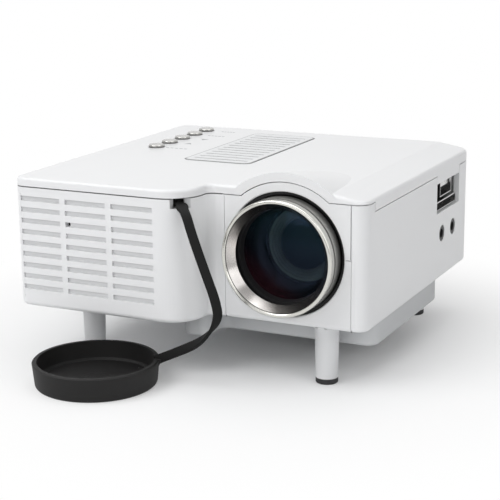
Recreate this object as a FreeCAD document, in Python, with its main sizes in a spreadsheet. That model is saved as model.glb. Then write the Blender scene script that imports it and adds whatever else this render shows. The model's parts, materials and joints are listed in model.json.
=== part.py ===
import FreeCAD, Part
import math
import os
import re

import Sketcher
from FreeCAD import Placement, Rotation, Vector

# Small LED projector on four screw legs, with a tethered rubber lens cap.
# Millimetres. X runs to the right seen from the front, the lens looks along -Y, Z is up.
# The origin lies on the floor, under the middle of the housing.

doc = FreeCAD.newDocument("projector")
sheet = doc.addObject("Spreadsheet::Sheet", "Sizes")

SIZES = {
    # housing
    "bodyWidth": 127.0,
    "bodyDepth": 127.0,
    "ventStep": 15.85,           # how far the vent section stands in front of the lens face
    "floorHeight": 21.0,         # underside of the housing
    "seamHeight": 64.4,          # joint of lid and housing
    "skirtDrop": 3.1,            # how much lower that joint runs along the right side
    "lidHeight": 3.2,
    "wall": 2.2,
    "topThickness": 2.0,
    "floorThickness": 2.0,
    "seamGap": 0.3,              # shadow line of the joint
    "slipGap": 0.15,             # clearance of inserts
    "shoulderInset": 28.4,       # from the lens axis to the right side of the vent section
    "shoulderRadius": 12.0,
    "shoulderFillet": 3.0,
    "cornerRadius": 4.5,
    "lipRadius": 1.2,
    "stripWidth": 12.5,          # sloping strip along the right of the lid
    "stripDrop": 2.1,
    "skirtStart": 7.65,          # from the lens face to where the deeper right skirt begins
    # lens opening
    "lensInset": 29.4,           # from the right side
    "lensDrop": 19.0,            # below the joint of the lid
    "wellRadius": 21.5,
    "archRadius": 24.8,          # joint of bezel and lid hood
    "hoodRadius": 28.0,
    "hoodLength": 36.0,
    "bezelReachLeft": 22.4,      # from the lens axis
    "bezelReachRight": 24.1,
    "bezelThickness": 1.6,
    "wellDepth": 2.8,
    "wellWall": 0.85,
    # vent grid
    "ventInset": 3.0,            # from the left side
    "ventClear": 13.15,          # from the shoulder
    "ventBar": 2.15,             # upright between two columns
    "slotHeight": 1.75,
    "slotPitch": 4.0,
    "slotDrop": 3.3,
    "slotDepth": 1.0,
    # ribbed insert of the lid
    "gripInset": 53.0,           # its middle, from the left side
    "gripBack": 42.6,            # its middle, from the rear
    "gripWidth": 27.0,
    "gripLength": 63.0,
    "gripCorner": 3.0,
    "gripRibPitch": 4.8,
    "gripRibWidth": 0.9,
    "gripRibDepth": 0.6,
    # menu buttons
    "buttonInset": 17.0,
    "buttonBack": 54.0,          # front button, from the rear
    "buttonPitch": 10.6,
    "buttonRadius": 3.1,
    "buttonRise": 1.1,
    "buttonTravel": 0.5,
    "buttonGap": 0.2,
    "buttonFlange": 4.1,
    "keypadDrop": 10.0,
    # legs
    "legInset": 17.0,
    "legFrontInset": 7.55,       # from the lens face
    "legRearInset": 13.5,
    "legTopRadius": 4.25,
    "legTipRadius": 3.9,
    "legCollar": 0.6,
    "legCollarRadius": 5.6,
    "studRadius": 2.5,
    "studLength": 4.9,
    "threadGap": 0.06,
    "legBossRadius": 4.5,
    "legBossHeight": 5.4,
    "footHeight": 2.0,
    # base tub
    "tubShoulder": 13.2,         # left side, from the shoulder
    "tubInset": 2.5,
    "tubFrontInset": 15.65,      # from the lens face
    "lobeFrontInset": 3.15,      # the lobe at the left, from the lens face
    "lobeWidth": 10.5,
    "tubRearInset": 27.5,
    "tubDepth": 9.5,
    "tubWall": 2.0,
    "tubCorner": 5.0,
    "tubSlotWidth": 2.4,
    "tubSlotPitch": 5.2,
    # focusing lens, distances measured back from the front of the ring
    "ringFront": 7.5,            # ring front ahead of the lens face
    "barrelRadius": 20.0,
    "barrelBore": 18.75,
    "sleeveRadius": 18.7,
    "sleeveBore": 17.5,
    "cellRadius": 17.45,
    "cellBore": 15.4,
    "ringLength": 2.6,
    "lipWidth": 1.3,
    "coneThroat": 16.4,          # the ring narrows to this behind its lip
    "coneDepth": 3.6,
    "barrelLength": 25.0,
    "sleeveStart": 5.0,
    "sleeveEnd": 36.0,
    "cellStart": 7.3,
    "cellEnd": 32.0,
    "lensEdgeRadius": 16.6,
    "lensEdge": 2.0,
    "lensBulge": 2.6,
    "focusTravel": 3.0,
    # light engine, places measured along Y
    "engineLength": 31.15,
    "engineHalfWidth": 22.0,
    "engineHalfHeight": 18.0,
    "engineWall": 2.0,
    "funnelLength": 17.0,
    "funnelHalf": 12.5,
    "lcdWidth": 40.0,
    "lcdHeight": 32.0,
    "sinkSize": 26.0,
    "sinkGap": 3.3,              # from the fins to the fan
    "sinkBase": 3.0,
    "finPitch": 3.2,
    "finWidth": 1.0,
    "fanSize": 30.0,
    "fanDepth": 8.0,
    "fanBore": 14.0,
    "fanHubRadius": 6.0,
    "fanTip": 13.4,
    # boards and sockets
    "boardRise": 9.0,
    "boardThickness": 1.6,
    "portInset": 12.5,           # from the rear
    "portLength": 26.6,
    "portDrop": 3.0,
    "portHeight": 11.4,
    "jackRadius": 3.0,
    # cap and strap
    "capX": -25.5,
    "capY": -73.4,
    "capRadius": 21.84,
    "capHeight": 8.65,
    "capWall": 1.6,
    "capFloor": 1.8,
    "strapRadius": 1.2,
    # screws
    "postRadius": 3.6,
    "screwRadius": 1.4,
    "screwHead": 2.6,
    "screwHeadHeight": 1.6,
    # posts, bosses and openings
    "postInset": 5.3,
    "postFrontInset": 21.65,     # from the lens face
    "postGap": 0.3,              # below the joint
    "lidPostRadius": 3.0,
    "postBite": 5.0,             # solid end of a post above the screw's head
    "lidScrewBite": 2.6,
    "tubScrewInset": 4.6,
    "tubScrewBite": 4.6,
    "tubBossRadius": 3.4,
    "windowWidth": 28.0,
    "windowLead": 2.85,          # ahead of the light engine
    "windowLength": 48.0,
    "hoodSink": 1.6,
    "keelDrop": 4.4,
    "gripThickness": 1.4,
    "gripCrown": 0.2,
    "keypadHangerOut": 7.5,
    "receiverPitch": 21.4,       # from the speaker
    "receiverDrop": 12.2,
    "receiverRadius": 0.8,
    "jackInset": 6.6,            # from the front of the card opening
    "jackPitch": 13.0,
    "jackDrop": 8.4,
    "grilleWidth": 26.0,
    "grilleSlot": 2.0,
    "grillePitch": 3.8,
    "dcInset": 16.0,
    "dcRise": 7.5,
    "dcCase": 9.0,
    "dcDepth": 12.8,
    "dcBore": 2.75,
    "dcPin": 0.8,
    "dcRadius": 4.0,
    "vgaInset": 41.5,
    "vgaLift": 8.5,
    "vgaCase": 30.8,
    "vgaDepth": 9.8,
    "vgaHole": 0.5,
    "vgaPitch": 2.3,
    "vgaNose": 17.0,
    "vgaRise": 8.4,
    "strapInset": 3.9,           # from the shoulder
    "strapBack": 3.15,           # from the front
    "strapNotchWidth": 6.0,
    "strapNotchDepth": 3.4,
    "boardInset": 7.5,
    "boardWidth": 46.0,
    "boardFrontInset": 13.5,
    "boardRearInset": 10.5,
    "slideGap": 0.05,
    "buttonStem": 2.0,
    "buttonRun": 5.6,            # foot of a button, below the top
    "flangeDrop": 3.3,
    "switchSize": 6.0,
    "switchStem": 1.7,
    "pinDepth": 20.0,
    "pinRadius": 1.2,
    "sleeveFlange": 2.0,
    "rimDepth": 9.2,
    "rearLensDepth": 26.4,
    "rearBulge": 1.4,
    "sealWidth": 1.2,
    "engineBore": 16.0,
    "condenserRadius": 10.9,
    "condenserBulge": 3.0,
    "fresnelStart": 19.15,
    "fresnelPitch": 8.0,
    "fresnelThickness": 1.5,
    "lcdGap": 3.0,
    "lcdFrameDepth": 3.0,
    "lcdPanelDepth": 1.2,
    "fanAxle": 1.0,
    "portBoardInset": 12.5,
    "usbWidth": 13.2,
    "usbHeight": 5.7,
    "cardWidth": 24.5,
    "cardHeight": 3.4,
    "jackBore": 1.8,
    "jackCase": 8.0,
    "speakerShoulder": 25.7,     # from the shoulder
    "speakerRise": 21.0,
    "speakerDepth": 8.6,
    "magnetRadius": 8.0,
    "speakerRadius": 13.0,
    "footStem": 1.75,
    "capTaper": 0.7,
    "capEdge": 1.2,
    "capTurn": 27.0,
    "lugHeight": 3.0,
    "lugWidth": 3.4,
    "lugReach": 1.2,
    "anchorRadius": 2.0,
    "anchorLength": 2.0,
    "anchorGap": 0.8,
}

# places that follow from the sizes
DERIVED = {
    "lensFace": "-bodyDepth / 2 + ventStep",
    "ringPlane": "lensFace - ringFront",
    "topHeight": "seamHeight + lidHeight",
    "sideSeamHeight": "seamHeight - skirtDrop",
    "lensX": "bodyWidth / 2 - lensInset",
    "lensHeight": "seamHeight - lensDrop",
    "shoulderX": "lensX - shoulderInset",
    "sideSkirtStart": "lensFace + skirtStart",
    "bezelLeft": "lensX - bezelReachLeft",
    "bezelRight": "lensX + bezelReachRight",
    "hoodFoot": "topHeight - hoodSink",
    "hoodKeel": "seamHeight - keelDrop",
    "ventLeft": "-bodyWidth / 2 + ventInset",
    "slotLength": "(shoulderX - ventClear - ventLeft - 2 * ventBar) / 3",
    "slotTop": "seamHeight - slotDrop",
    "gripX": "-bodyWidth / 2 + gripInset",
    "gripY": "bodyDepth / 2 - gripBack",
    "buttonX": "-bodyWidth / 2 + buttonInset",
    "buttonY": "bodyDepth / 2 - buttonBack",
    "keypadHeight": "topHeight - keypadDrop",
    "buttonFoot": "topHeight - buttonRun",
    "buttonFlangeLow": "topHeight - flangeDrop",
    "legX": "bodyWidth / 2 - legInset",
    "legFrontY": "lensFace + legFrontInset",
    "legRearY": "bodyDepth / 2 - legRearInset",
    "tubLeft": "shoulderX - tubShoulder",
    "tubRight": "bodyWidth / 2 - tubInset",
    "tubFront": "lensFace + tubFrontInset",
    "tubLobeFront": "lensFace + lobeFrontInset",
    "tubLobeRight": "tubLeft + lobeWidth",
    "tubRear": "bodyDepth / 2 - tubRearInset",
    "tubBottom": "floorHeight - tubDepth",
    "engineFront": "ringPlane + sleeveEnd",
    "engineRear": "engineFront + engineLength",
    "funnelRear": "engineRear + funnelLength",
    "fresnelFront": "engineFront + fresnelStart",
    "fresnelRear": "fresnelFront + fresnelPitch",
    "lcdFront": "fresnelFront + lcdGap",
    "sinkFront": "funnelRear + boardThickness",
    "sinkRear": "bodyDepth / 2 - wall - fanDepth - sinkGap",
    "windowFront": "engineFront - windowLead",
    "windowRear": "windowFront + windowLength",
    "postX": "bodyWidth / 2 - postInset",
    "postY": "bodyDepth / 2 - postInset",
    "postFrontY": "lensFace + postFrontInset",
    "postTop": "sideSeamHeight - postGap",
    "postShelf": "postTop - postBite",
    "boardHeight": "floorHeight + boardRise",
    "boardLeft": "-bodyWidth / 2 + boardInset",
    "boardRight": "boardLeft + boardWidth",
    "boardFront": "-bodyDepth / 2 + boardFrontInset",
    "boardRear": "bodyDepth / 2 - boardRearInset",
    "portTop": "sideSeamHeight - portDrop",
    "portBottom": "portTop - portHeight",
    "portRear": "bodyDepth / 2 - portInset",
    "portFront": "portRear - portLength",
    "portBoardX": "bodyWidth / 2 - portBoardInset",
    "jackFrontY": "portFront + jackInset",
    "jackRearY": "jackFrontY + jackPitch",
    "jackHeight": "portBottom - jackDrop",
    "speakerX": "shoulderX - speakerShoulder",
    "speakerZ": "floorHeight + speakerRise",
    "receiverX": "speakerX - receiverPitch",
    "receiverZ": "seamHeight - receiverDrop",
    "dcX": "-bodyWidth / 2 + dcInset",
    "dcHeight": "boardHeight + dcRise",
    "vgaX": "-bodyWidth / 2 + vgaInset",
    "vgaHeight": "boardHeight + vgaLift",
    "strapX": "shoulderX - strapInset",
    "strapY": "-bodyDepth / 2 + strapBack",
}

for row, (alias, value) in enumerate(SIZES.items(), 1):
    sheet.set(f"A{row}", alias)
    sheet.set(f"B{row}", str(value))
    sheet.setAlias(f"B{row}", alias)
doc.recompute()


def formula(text):
    """A formula with every size's name pointed at its cell and every derived place written out."""

    def point(word):
        name = word[0]
        if name in DERIVED:
            return f"({formula(DERIVED[name])})"
        return "Sizes." + name if name in SIZES else name

    return re.sub(r"[A-Za-z]\w*", point, str(text))


def amount(text):
    return float(sheet.evalExpression(formula(text)))


def drive(owner, prop, text):
    owner.setExpression(prop, formula(text))


# ---------------------------------------------------------------- sketch helpers


def newBody(label):
    return doc.addObject("PartDesign::Body", label)


def sketchOn(body, name, role, offset="0"):
    """A sketch on one of the body's own planes, moved along that plane's normal.

    XY_Plane looks along +Z, XZ_Plane along -Y and YZ_Plane along +X.
    """
    sketch = body.newObject("Sketcher::SketchObject", name)
    plane = next(feature for feature in body.Origin.OriginFeatures if feature.Role == role)
    sketch.AttachmentSupport = [(plane, "")]
    sketch.MapMode = "FlatFace"
    drive(sketch, "AttachmentOffset.Base.z", offset)
    return sketch


def hold(sketch, kind, geometry, point, text):
    index = sketch.addConstraint(Sketcher.Constraint(kind, geometry, point, amount(text)))
    drive(sketch, f"Constraints[{index}]", text)


def pin(sketch, geometry, point, x, y):
    hold(sketch, "DistanceX", geometry, point, x)
    hold(sketch, "DistanceY", geometry, point, y)


def circle(sketch, x, y, radius):
    centre = Vector(amount(x), amount(y), 0)
    geometry = sketch.addGeometry(Part.Circle(centre, Vector(0, 0, 1), amount(radius)), False)
    index = sketch.addConstraint(Sketcher.Constraint("Radius", geometry, amount(radius)))
    drive(sketch, f"Constraints[{index}]", radius)
    pin(sketch, geometry, 3, x, y)


def path(sketch, steps):
    """A closed outline. A step is (x, y), or (x, y, radius, turn) for an arc that leaves that point,
    turning left (1) or right (-1)."""
    points = [Vector(amount(step[0]), amount(step[1]), 0) for step in steps]
    ends = []
    for index, step in enumerate(steps):
        start, finish = points[index], points[(index + 1) % len(points)]
        if len(step) == 2:
            geometry = sketch.addGeometry(Part.LineSegment(start, finish), False)
            ends.append((geometry, 1, 2))
            continue
        radius, turn = amount(step[2]), step[3]
        chord = finish - start
        rise = math.sqrt(radius ** 2 - (chord.Length / 2) ** 2)
        left = Vector(-chord.y, chord.x, 0).normalize()
        centre = start + chord * 0.5 + left * (rise * turn)
        first, last = (start, finish) if turn > 0 else (finish, start)
        angles = [math.atan2(point.y - centre.y, point.x - centre.x) for point in (first, last)]
        if angles[1] < angles[0]:
            angles[1] += 2 * math.pi
        arc = Part.ArcOfCircle(Part.Circle(centre, Vector(0, 0, 1), radius), *angles)
        geometry = sketch.addGeometry(arc, False)
        ends.append((geometry, 1, 2) if turn > 0 else (geometry, 2, 1))
        held = sketch.addConstraint(Sketcher.Constraint("Radius", geometry, radius))
        drive(sketch, f"Constraints[{held}]", step[2])
    for index, (geometry, _, end) in enumerate(ends):
        following = ends[(index + 1) % len(ends)]
        sketch.addConstraint(Sketcher.Constraint("Coincident", geometry, end, following[0], following[1]))
    for (geometry, start, _), step in zip(ends, steps):
        pin(sketch, geometry, start, step[0], step[1])


def rectangle(sketch, left, bottom, right, top):
    path(sketch, [(left, bottom), (right, bottom), (right, top), (left, top)])


def rounded(sketch, corners):
    """A closed outline of level and upright sides, counter-clockwise, with a radius at each corner."""
    places = [Vector(amount(x), amount(y), 0) for x, y, _ in corners]
    count = len(corners)
    lines, arcs = [], []
    trims = []
    for index in range(count):
        before = (places[index - 1] - places[index]).normalize()
        after = (places[(index + 1) % count] - places[index]).normalize()
        radius = amount(corners[index][2])
        trims.append((places[index] + before * radius, places[index] + after * radius, before, after, radius))
    for index in range(count):
        side = Part.LineSegment(trims[index][1], trims[(index + 1) % count][0])
        lines.append(sketch.addGeometry(side, False))
    for index, (entry, leave, before, after, radius) in enumerate(trims):
        centre = places[index] + (before + after) * radius
        left = before.cross(after).z < 0
        first, last = (entry, leave) if left else (leave, entry)
        angles = [math.atan2(point.y - centre.y, point.x - centre.x) for point in (first, last)]
        if angles[1] < angles[0]:
            angles[1] += 2 * math.pi
        arc = Part.ArcOfCircle(Part.Circle(centre, Vector(0, 0, 1), radius), *angles)
        arcs.append((sketch.addGeometry(arc, False), (1, 2) if left else (2, 1)))
    for index, (x, y, radius) in enumerate(corners):
        following = (index + 1) % count
        level = abs(places[following].y - places[index].y) < 1e-6
        sketch.addConstraint(Sketcher.Constraint("Horizontal" if level else "Vertical", lines[index]))
        hold(sketch, "DistanceY" if level else "DistanceX", lines[index], 1, y if level else x)
        arc, (entry, leave) = arcs[index]
        sketch.addConstraint(Sketcher.Constraint("Tangent", lines[index - 1], 2, arc, entry))
        sketch.addConstraint(Sketcher.Constraint("Tangent", arc, leave, lines[index], 1))
        held = sketch.addConstraint(Sketcher.Constraint("Radius", arc, amount(radius)))
        drive(sketch, f"Constraints[{held}]", radius)


def bodyOutline(sketch, inset="0", right="bodyWidth / 2"):
    """The housing seen from above: the vent section stands forward, left of the curved shoulder."""
    left = f"-bodyWidth / 2 + {inset}"
    right = f"{right} - {inset}"
    front = f"-bodyDepth / 2 + {inset}"
    face = f"-bodyDepth / 2 + ventStep + {inset}"
    rear = f"bodyDepth / 2 - {inset}"
    shoulder = f"shoulderX - {inset}"
    corner = f"cornerRadius - {inset}"
    rounded(sketch, [
        (left, front, corner),
        (shoulder, front, f"shoulderRadius - {inset}"),
        (shoulder, face, f"shoulderFillet + {inset}"),
        (right, face, corner),
        (right, rear, corner),
        (left, rear, corner),
    ])


# ---------------------------------------------------------------- feature helpers


def pad(body, sketch, length, back=False):
    feature = body.newObject("PartDesign::Pad", sketch.Name + "Pad")
    feature.Profile = sketch
    feature.Reversed = back
    drive(feature, "Length", length)
    return feature


def pocket(body, sketch, length, forward=False):
    """Cuts against the plane's normal, or along it when forward."""
    feature = body.newObject("PartDesign::Pocket", sketch.Name + "Pocket")
    feature.Profile = sketch
    feature.Reversed = forward
    drive(feature, "Length", length)
    return feature


def row(body, original, sketch, axis, length, count, back=False):
    feature = body.newObject("PartDesign::LinearPattern", original.Name + "Row")
    feature.Originals = [original]
    feature.Direction = (sketch, [axis])
    feature.Reversed = back
    feature.Occurrences = count
    drive(feature, "Length", length)
    body.Tip = feature
    return feature


def loft(body, sketches, kind="PartDesign::AdditiveLoft"):
    feature = body.newObject(kind, sketches[0].Name + "Loft")
    feature.Profile = sketches[0]
    feature.Sections = sketches[1:]
    feature.Ruled = True
    return feature


def soften(body, test, size, kind="PartDesign::Fillet"):
    """Rounds or bevels the edges of the tip that pass the test."""
    doc.recompute()
    base = body.Tip
    chosen = [f"Edge{n}" for n, edge in enumerate(base.Shape.Edges, 1) if test(edge)]
    if not chosen:
        raise RuntimeError(f"{body.Label}: no edge to soften")
    feature = body.newObject(kind, body.Name + "Soft")
    feature.Base = (base, chosen)
    drive(feature, "Radius" if kind.endswith("Fillet") else "Size", size)
    return feature


def turned(label, steps):
    """A body of revolution about its own Z, from a profile of (radius, height) steps."""
    body = newBody(label)
    sketch = sketchOn(body, label + "Profile", "XZ_Plane")
    path(sketch, steps)
    feature = body.newObject("PartDesign::Revolution", label + "Turn")
    feature.Profile = sketch
    feature.ReferenceAxis = (sketch, ["V_Axis"])
    feature.Angle = 360.0
    return body


def place(thing, x="0", y="0", z="0", turn=None):
    if turn is not None:
        thing.Placement = Placement(Vector(0, 0, 0), turn)
    for axis, text in zip("xyz", (x, y, z)):
        drive(thing, f"Placement.Base.{axis}", text)
    return thing


def block(x, y, z, length, width, height):
    """A box from its low corner and its three sizes."""
    box = doc.addObject("Part::Box", "Block")
    drive(box, "Length", length)
    drive(box, "Width", width)
    drive(box, "Height", height)
    return place(box, x, y, z)


ALONG_X = Rotation(Vector(0, 1, 0), 90)
ALONG_Y = Rotation(Vector(1, 0, 0), -90)


def rod(x, y, z, radius, length, turn=None):
    """A round bar from the middle of its first end, upright unless turned."""
    bar = doc.addObject("Part::Cylinder", "Rod")
    drive(bar, "Radius", radius)
    drive(bar, "Height", length)
    return place(bar, x, y, z, turn)


def fused(label, pieces):
    joint = doc.addObject("Part::MultiFuse", label)
    joint.Shapes = pieces
    joint.Refine = True
    return joint


def cut(label, base, tools):
    """The base less every tool."""
    result = doc.addObject("Part::Cut", label)
    result.Base = base
    result.Tool = tools[0] if len(tools) == 1 else fused(label + "Tools", tools)
    return result


NODES = []


def keep(thing, label):
    """Registers a finished piece under the name of its file."""
    thing.Label = label
    NODES.append(thing)
    return thing


SEAM_LOW = "(seamHeight - seamGap / 2)"
SEAM_HIGH = "(seamHeight + seamGap / 2)"
SIDE_LOW = "(sideSeamHeight - seamGap / 2)"
SIDE_HIGH = "(sideSeamHeight + seamGap / 2)"
CEILING = "(topHeight - topThickness)"
STRIP_CEILING = "(topHeight - topThickness - stripDrop + 0.5)"


# ---------------------------------------------------------------- housing


MAIN_CHIPS = [
    (12, 34, 14, 14, 1.4),
    (14, 56, 10, 6, 1.2),
    (30, 60, 8, 8, 5),
    (4, 70, 6, 6, 6),
    (34, 14, 5, 10, 3),
]
FAN_BLADES = 7
LEG_PLACES = [
    ("front_left", "-legX", "legFrontY"),
    ("front_right", "legX", "legFrontY"),
    ("rear_left", "-legX", "legRearY"),
    ("rear_right", "legX", "legRearY"),
]
POST_PLACES = [
    ("-postX", "-postY"),
    ("postX", "postFrontY"),
    ("postX", "postY"),
    ("-postX", "postY"),
]
TUB_SCREWS = [
    ("tubLeft + tubScrewInset", "tubLobeFront + tubScrewInset"),
    ("tubRight - tubScrewInset - 6", "tubFront + tubScrewInset"),
    ("tubRight - tubScrewInset", "tubRear - tubScrewInset"),
    ("tubLeft + tubScrewInset", "tubRear - tubScrewInset"),
]


def makeHousing():
    body = newBody("lower_housing")
    shell = sketchOn(body, "housingOutline", "XY_Plane", "floorHeight")
    bodyOutline(shell)
    pad(body, shell, f"{SEAM_LOW} - floorHeight")
    hollow = sketchOn(body, "housingHollow", "XY_Plane", "floorHeight + floorThickness")
    bodyOutline(hollow, "wall")
    pocket(body, hollow, "seamHeight - floorHeight", forward=True)
    # the lid's right skirt comes down lower than the rest of the joint
    skirt = sketchOn(body, "housingSkirt", "XY_Plane", SIDE_LOW)
    rectangle(skirt, "bodyWidth / 2 - wall - slipGap", "sideSkirtStart - seamGap",
              "bodyWidth / 2 + 1", "bodyDepth / 2 + 1")
    pocket(body, skirt, "seamHeight - sideSeamHeight + 1", forward=True)
    # opening of the lens bezel, cut through the front wall down to the underside
    front = sketchOn(body, "bezelOpening", "XZ_Plane", "-lensFace + 1")
    rectangle(front, "bezelLeft", "floorHeight - 1", "bezelRight", "seamHeight + 1")
    pocket(body, front, "wall + 1")
    # vent slots, three columns of nine
    slots = sketchOn(body, "ventSlots", "XZ_Plane", "bodyDepth / 2")
    for column in range(3):
        left = f"ventLeft + {column} * (slotLength + ventBar)"
        rectangle(slots, left, "slotTop - slotHeight", f"{left} + slotLength", "slotTop")
    first = pocket(body, slots, "slotDepth")
    row(body, first, slots, "V_Axis", "8 * slotPitch", 9, back=True)
    # window of the remote receiver
    window = sketchOn(body, "receiverHole", "XZ_Plane", "bodyDepth / 2 + 1")
    circle(window, "receiverX", "receiverZ", "receiverRadius")
    pocket(body, window, "wall + 2")
    # right side: card and stick opening, two round sockets below it
    side = sketchOn(body, "portOpening", "YZ_Plane", "bodyWidth / 2 + 1")
    rectangle(side, "portFront", "portBottom", "portRear", "sideSeamHeight + 1")
    pocket(body, side, "wall + 2")
    jacks = sketchOn(body, "jackHoles", "YZ_Plane", "bodyWidth / 2 + 1")
    for y in ("jackFrontY", "jackRearY"):
        circle(jacks, y, "jackHeight", "jackRadius + slipGap")
    pocket(body, jacks, "wall + 2")
    # rear: fan slots, monitor socket and power inlet
    grille = sketchOn(body, "fanSlots", "XZ_Plane", "-bodyDepth / 2 + wall + 1")
    rectangle(grille, "lensX - grilleWidth / 2", "lensHeight - 3 * grillePitch - grilleSlot / 2",
              "lensX + grilleWidth / 2", "lensHeight - 3 * grillePitch + grilleSlot / 2")
    opening = pocket(body, grille, "wall + 2")
    row(body, opening, grille, "V_Axis", "6 * grillePitch", 7)
    rear = sketchOn(body, "rearSockets", "XZ_Plane", "-bodyDepth / 2 + wall + 1")
    circle(rear, "dcX", "dcHeight", "dcRadius + slipGap")
    rectangle(rear, "vgaX - vgaNose / 2 - slipGap", "vgaHeight - vgaRise / 2 - slipGap",
              "vgaX + vgaNose / 2 + slipGap", "vgaHeight + vgaRise / 2 + slipGap")
    pocket(body, rear, "wall + 2")
    # notch for the cap's strap, high on the shoulder
    notch = sketchOn(body, "strapNotch", "XY_Plane", "seamHeight - strapNotchDepth")
    rectangle(notch, "strapX - strapNotchWidth / 2", "strapY - strapNotchWidth / 2",
              "strapX + strapNotchWidth / 2 + 2", "strapY + strapNotchWidth / 2")
    pocket(body, notch, "strapNotchDepth + 1", forward=True)
    # inside: screw posts, stands of the main board, bosses of the legs and of the base tub
    posts = sketchOn(body, "screwPosts", "XY_Plane", "floorHeight")
    for x, y in POST_PLACES:
        circle(posts, x, y, "postRadius")
    pad(body, posts, "postTop - floorHeight")
    stands = sketchOn(body, "boardStands", "XY_Plane", "floorHeight")
    for x in ("boardLeft + 3", "boardRight - 3"):
        for y in ("boardFront + 4", "boardRear - 8"):
            circle(stands, x, y, "2.6")
    pad(body, stands, "boardHeight - floorHeight")
    bosses = sketchOn(body, "bossRounds", "XY_Plane", "floorHeight")
    for _, x, y in LEG_PLACES:
        circle(bosses, x, y, "legBossRadius")
    for x, y in TUB_SCREWS:
        circle(bosses, x, y, "tubBossRadius")
    pad(body, bosses, "legBossHeight")
    collars = sketchOn(body, "legCollars", "XY_Plane", "floorHeight")
    for _, x, y in LEG_PLACES:
        circle(collars, x, y, "legCollarRadius")
    pad(body, collars, "legCollar", back=True)
    threads = sketchOn(body, "legThreads", "XY_Plane", "floorHeight - legCollar")
    for _, x, y in LEG_PLACES:
        circle(threads, x, y, "studRadius + threadGap")
    pocket(body, threads, "studLength + 0.3", forward=True)
    pilots = sketchOn(body, "tubPilots", "XY_Plane", "floorHeight - 1")
    for x, y in TUB_SCREWS:
        circle(pilots, x, y, "screwRadius + threadGap")
    pocket(body, pilots, "tubScrewBite + 1.3", forward=True)
    bores = sketchOn(body, "postBores", "XY_Plane", "floorHeight - 1")
    for x, y in POST_PLACES:
        circle(bores, x, y, "screwRadius + threadGap")
    pocket(body, bores, "postTop - floorHeight + 2", forward=True)
    counterbores = sketchOn(body, "postCounterbores", "XY_Plane", "floorHeight - 1")
    for x, y in POST_PLACES:
        circle(counterbores, x, y, "screwHead + 0.25")
    pocket(body, counterbores, "postShelf - floorHeight + 1", forward=True)
    # draught from the base tub up to the light engine
    draught = sketchOn(body, "floorWindow", "XY_Plane", "floorHeight - 1")
    rectangle(draught, "lensX - windowWidth / 2", "windowFront", "lensX + windowWidth / 2", "windowRear")
    pocket(body, draught, "floorThickness + 2", forward=True)
    keep(body, "lower_housing")


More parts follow.
